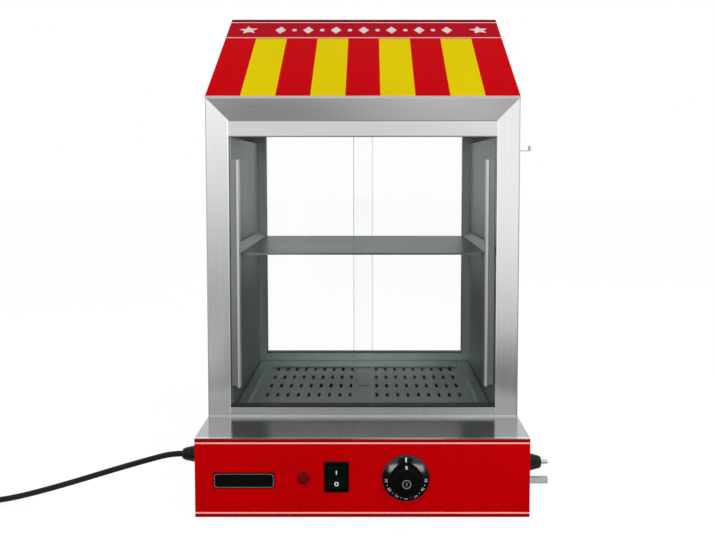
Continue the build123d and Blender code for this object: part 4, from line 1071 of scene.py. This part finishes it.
grip_grid = turned(gland_profile, gland_root, (-1, 0, 0), 72, hexagon)
cord_grip = make_piece(
    "cord_grip", [grip_grid], cable_black, "cabinet", crisp=25.0
)
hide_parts("cable_gland")

# %% Tap knob
tap_low, tap_high = np.array(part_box("drain_knob"))
tap_root = (tap_low + tap_high) / 2
tap_root[0] = tap_low[0]
tap_length, _, tap_width = tap_high - tap_low
flange, tap_bore = tap_width / 2, 0.0031
tap_profile = [
    (0.0, tap_bore),
    (0.0, flange - 0.0004),
    (0.0004, flange),
    (0.0024, flange),
    (0.0030, flange - 0.0006),
    (0.0031, 0.0122),
    (0.0050, 0.0118),
    (0.0110, 0.0101),
    (0.0170, 0.0085),
    (0.0215, 0.0073),
    (tap_length - 0.0010, 0.0067),
    (tap_length, 0.0058),
    (tap_length, tap_bore),
    (0.0, tap_bore),
]
fluted = np.array([0] * 5 + [1] * 6 + [0] * (len(tap_profile) - 11))


def flutes(angle, rows):
    """Ten shallow hollows round the grip, none on the flange and the end.

    A hollow is a raised cosine, squared so that it is narrower than the land beside it.
    """
    flute_count, flute_depth = 10, 0.09
    hollow = flute_depth * (0.5 + 0.5 * np.cos(flute_count * angle)) ** 2
    return 1.0 - fluted[rows][:, None] * hollow[None, :]


tap_grid = turned(tap_profile, tap_root, (1, 0, 0), 80, flutes)
tap_knob = make_piece("tap_knob", [tap_grid], cable_black, "drain_tap")
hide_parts("drain_knob")

# %% [markdown]
# ## The badge's border
# The badge is a plain black plate with a thin grey line inside its edge. The line is a
# band between two superellipses, which are rectangles with small round corners.

# %% Badge border
badge_low, badge_high = np.array(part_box("badge_plate"))
badge = (badge_low + badge_high) / 2
badge[1] = badge_low[1]
half_badge = (badge_high - badge_low)[[0, 2]] / 2
border_outer, border_inner, corner_power = 0.0010, 0.0015, 14.0
border = band(
    oval(*(half_badge - border_outer), corner_power, 96),
    oval(*(half_badge - border_inner), corner_power, 96),
    badge,
    *upright,
    ink,
)
make_piece("badge_border", [border], print_grey, "cabinet")

# %% [markdown]
# ## The studio: world and floor
# Product photographs are cut out on white. So the world is white to every ray that looks
# at it, from the camera, off a mirror or through glass, and gentler as a light. The
# floor does the same in part: what looks at it sees near white, and the rest is a plain
# pale floor, which keeps a soft shadow.

# %% World
def looking(place):
    """1 for a ray from the camera, off a mirror or through glass, and 0 for light."""
    rays = place.node("LightPath").socket.node.outputs
    names = "Is Camera Ray", "Is Glossy Ray", "Is Transmission Ray"
    eye, mirror, glass = (Out(place.tree, rays[name]) for name in names)
    return eye + mirror + glass


room_light = 0.48
white = (1, 1, 1, 1)
world = bpy.data.worlds.new("studio")
bpy.context.scene.world = world
world.use_nodes = True
world.node_tree.nodes.clear()
air = Out(world.node_tree)
backdrop = air.node("Background", {"Color": white, "Strength": 1.0})
ambient = air.node("Background", {"Color": white, "Strength": room_light})
sky = air.node("MixShader", {0: looking(air), 1: ambient, 2: backdrop})
air.node("OutputWorld", {"Surface": sky})
print("room light:", room_light)

# %% Floor
def pale_floor():
    """Mostly a white glow to rays that look, and a matt pale floor to the rest."""
    material, place = start_material("pale_floor")
    glow_share, glow_strength = 0.7, 1.24
    matt = place.node("BsdfDiffuse", {"Color": srgb(232, 232, 232)})
    white_glow = place.node("Emission", {"Color": white, "Strength": glow_strength})
    share = looking(place) * glow_share
    return end_material(
        material, place, place.node("MixShader", {0: share, 1: matt, 2: white_glow})
    )


def sheet(name, corners, material):
    """A flat quad between four corners."""
    mesh = bpy.data.meshes.new(name)
    mesh.from_pydata(corners, [], [(0, 1, 2, 3)])
    mesh.materials.append(material)
    made = bpy.data.objects.new(name, mesh)
    link(made)
    return made


def level_quad(left, right, front, rear, height):
    """The corners of a level sheet, counter-clockwise from above."""
    corners = (left, front), (right, front), (right, rear), (left, rear)
    return [(x, y, height) for x, y in corners]


def upright_quad(left, right, depth, foot, top):
    """The corners of an upright sheet, counter-clockwise from the front."""
    corners = (left, foot), (right, foot), (right, top), (left, top)
    return [(x, depth, z) for x, z in corners]


floor_reach = 9.0
floor_corners = level_quad(-floor_reach, floor_reach, -floor_reach, floor_reach, 0)
sheet("floor", floor_corners, pale_floor())
print("floor reaches", floor_reach, "m each way")

# %% [markdown]
# ## The studio: reflection cards
# Brushed steel only looks like steel when it has something to mirror, and in a white
# room it would be plain white. Cards that only reflections see stand in for the darker
# parts of a room: on the floor, behind the chamber and behind the camera. Two bright
# strips are linked to the dial's cone alone, and make the bright patches on it.

# %% Card helpers
def glow(name, tone):
    """A grey glow whose strength is worked out from the X, Y and Z of a point."""
    material, place = start_material(name)
    strength = tone(*axes(place))
    return end_material(material, place, place.node("Emission", {"Color": strength}))


def card(name, corners, paint):
    """A card that only reflections can see."""
    made = sheet(name, corners, paint)
    made.visible_camera = made.visible_diffuse = made.visible_shadow = False
    made.visible_transmission = False
    print(name, "from", corners[0], "to", corners[2])
    return made


# %% Floor and rear cards
def floor_tone(x, y, z):
    """Dark beside the object and brighter away from it; brighter to the right close by."""
    near = ramp(x, -0.24, 0.24, 0.12, 1.3) * ramp(y, -0.66, -0.48, 1.0, 0.18)
    near = near * ramp(y, -0.42, -0.25, 1.0, 0.3)
    far = ramp(y, -4.5, -0.8, 1.0, 0.42) + ramp(x, -0.3, 0.3, 0.16, -0.16)
    share = ramp(y, -1.1, -0.8, 1.0, 0.0) + ramp(abs(x), 0.27, 0.36, 0.0, 1.0)
    share = share.math("MINIMUM", share, 1.0)
    return near * (1 - share) + far * share


def rear_tone(x, y, z):
    """Nearly black behind the tray, and grey behind the upper chamber."""
    return ramp(z, 0.2, 0.36, 0.12, 0.55)


card("floor_card", level_quad(-4.5, 4.5, -6, -0.2, 0.002), glow("floor_grey", floor_tone))
card("rear_card", upright_quad(-0.19, 0.19, 0.26, 0.0, 0.47), glow("rear_grey", rear_tone))

# %% Strips for the dial
strip_depth, strip_top = -0.5, 0.07


def strip_tone(x, y, z):
    """Much brighter than white, and brighter still with the height."""
    return ramp(z, 0.0, strip_top, 6.0, 9.0)


strip_glow = glow("strip_glow", strip_tone)
only_dial = bpy.data.collections.new("only_dial")
only_dial.objects.link(dial_cone)
for name, left, right in (("strip_left", -0.10, -0.01), ("strip_right", 0.12, 0.24)):
    strip = card(name, upright_quad(left, right, strip_depth, 0, strip_top), strip_glow)
    strip.light_linking.receiver_collection = only_dial

# %% Cards behind the camera
def camera_tone(x, y, z):
    """Nearly black, and a little lighter with the height."""
    return ramp(z, 0.0, 0.33, 0.02, 0.05)


def right_tone(x, y, z):
    """Brightest where the right end of the header sees it."""
    return ramp(x, 0.12, 0.36, 1.0, 1.46) * ramp(x, 0.42, 0.58, 1.0, 0.83)


low_corners = upright_quad(-0.15, 0.3, -1.3, 0.0, 0.33)
card("camera_card", low_corners, glow("camera_grey", camera_tone))
right_corners = upright_quad(0.12, 1.0, -1.32, 0.42, 0.95)
card("right_card", right_corners, glow("right_grey", right_tone))

# %% [markdown]
# ## The studio: lamps
# Three wide, soft lamps light the object from the left, the right and above. The right
# one is the strongest, as in the photograph. Mirrors don't see them, because the cards
# already say what the steel reflects.

# %% Lamps
object_middle = Vector((0, 0, 0.3))


def lamp(name, place, width, height, watts):
    """A soft rectangular lamp that faces the middle of the object."""
    data = bpy.data.lights.new(name, "AREA")
    data.shape = "RECTANGLE"
    data.size, data.size_y, data.energy = width, height, watts
    made = bpy.data.objects.new(name, data)
    made.location = place
    made.visible_glossy = False
    direction = object_middle - Vector(place)
    made.rotation_euler = direction.to_track_quat("-Z", "Y").to_euler()
    link(made)
    print(name, "gives", watts, "W")


lamp("left_lamp", (-1.15, -2.0, 0.9), 0.7, 1.5, 8.0)
lamp("right_lamp", (1.25, -1.9, 0.9), 0.6, 1.5, 16.0)
lamp("top_lamp", (0.3, -0.7, 2.2), 1.4, 1.0, 7.0)

# %% [markdown]
# ## Finish
# The scene uses the plain Standard view, so a colour renders as it is written.

# %% Check and finish
bpy.context.scene.view_settings.view_transform = "Standard"
shown = {name for name, node in nodes.items() if not node.hide_render}
print("nodes without a finish:", sorted(shown - dressed))
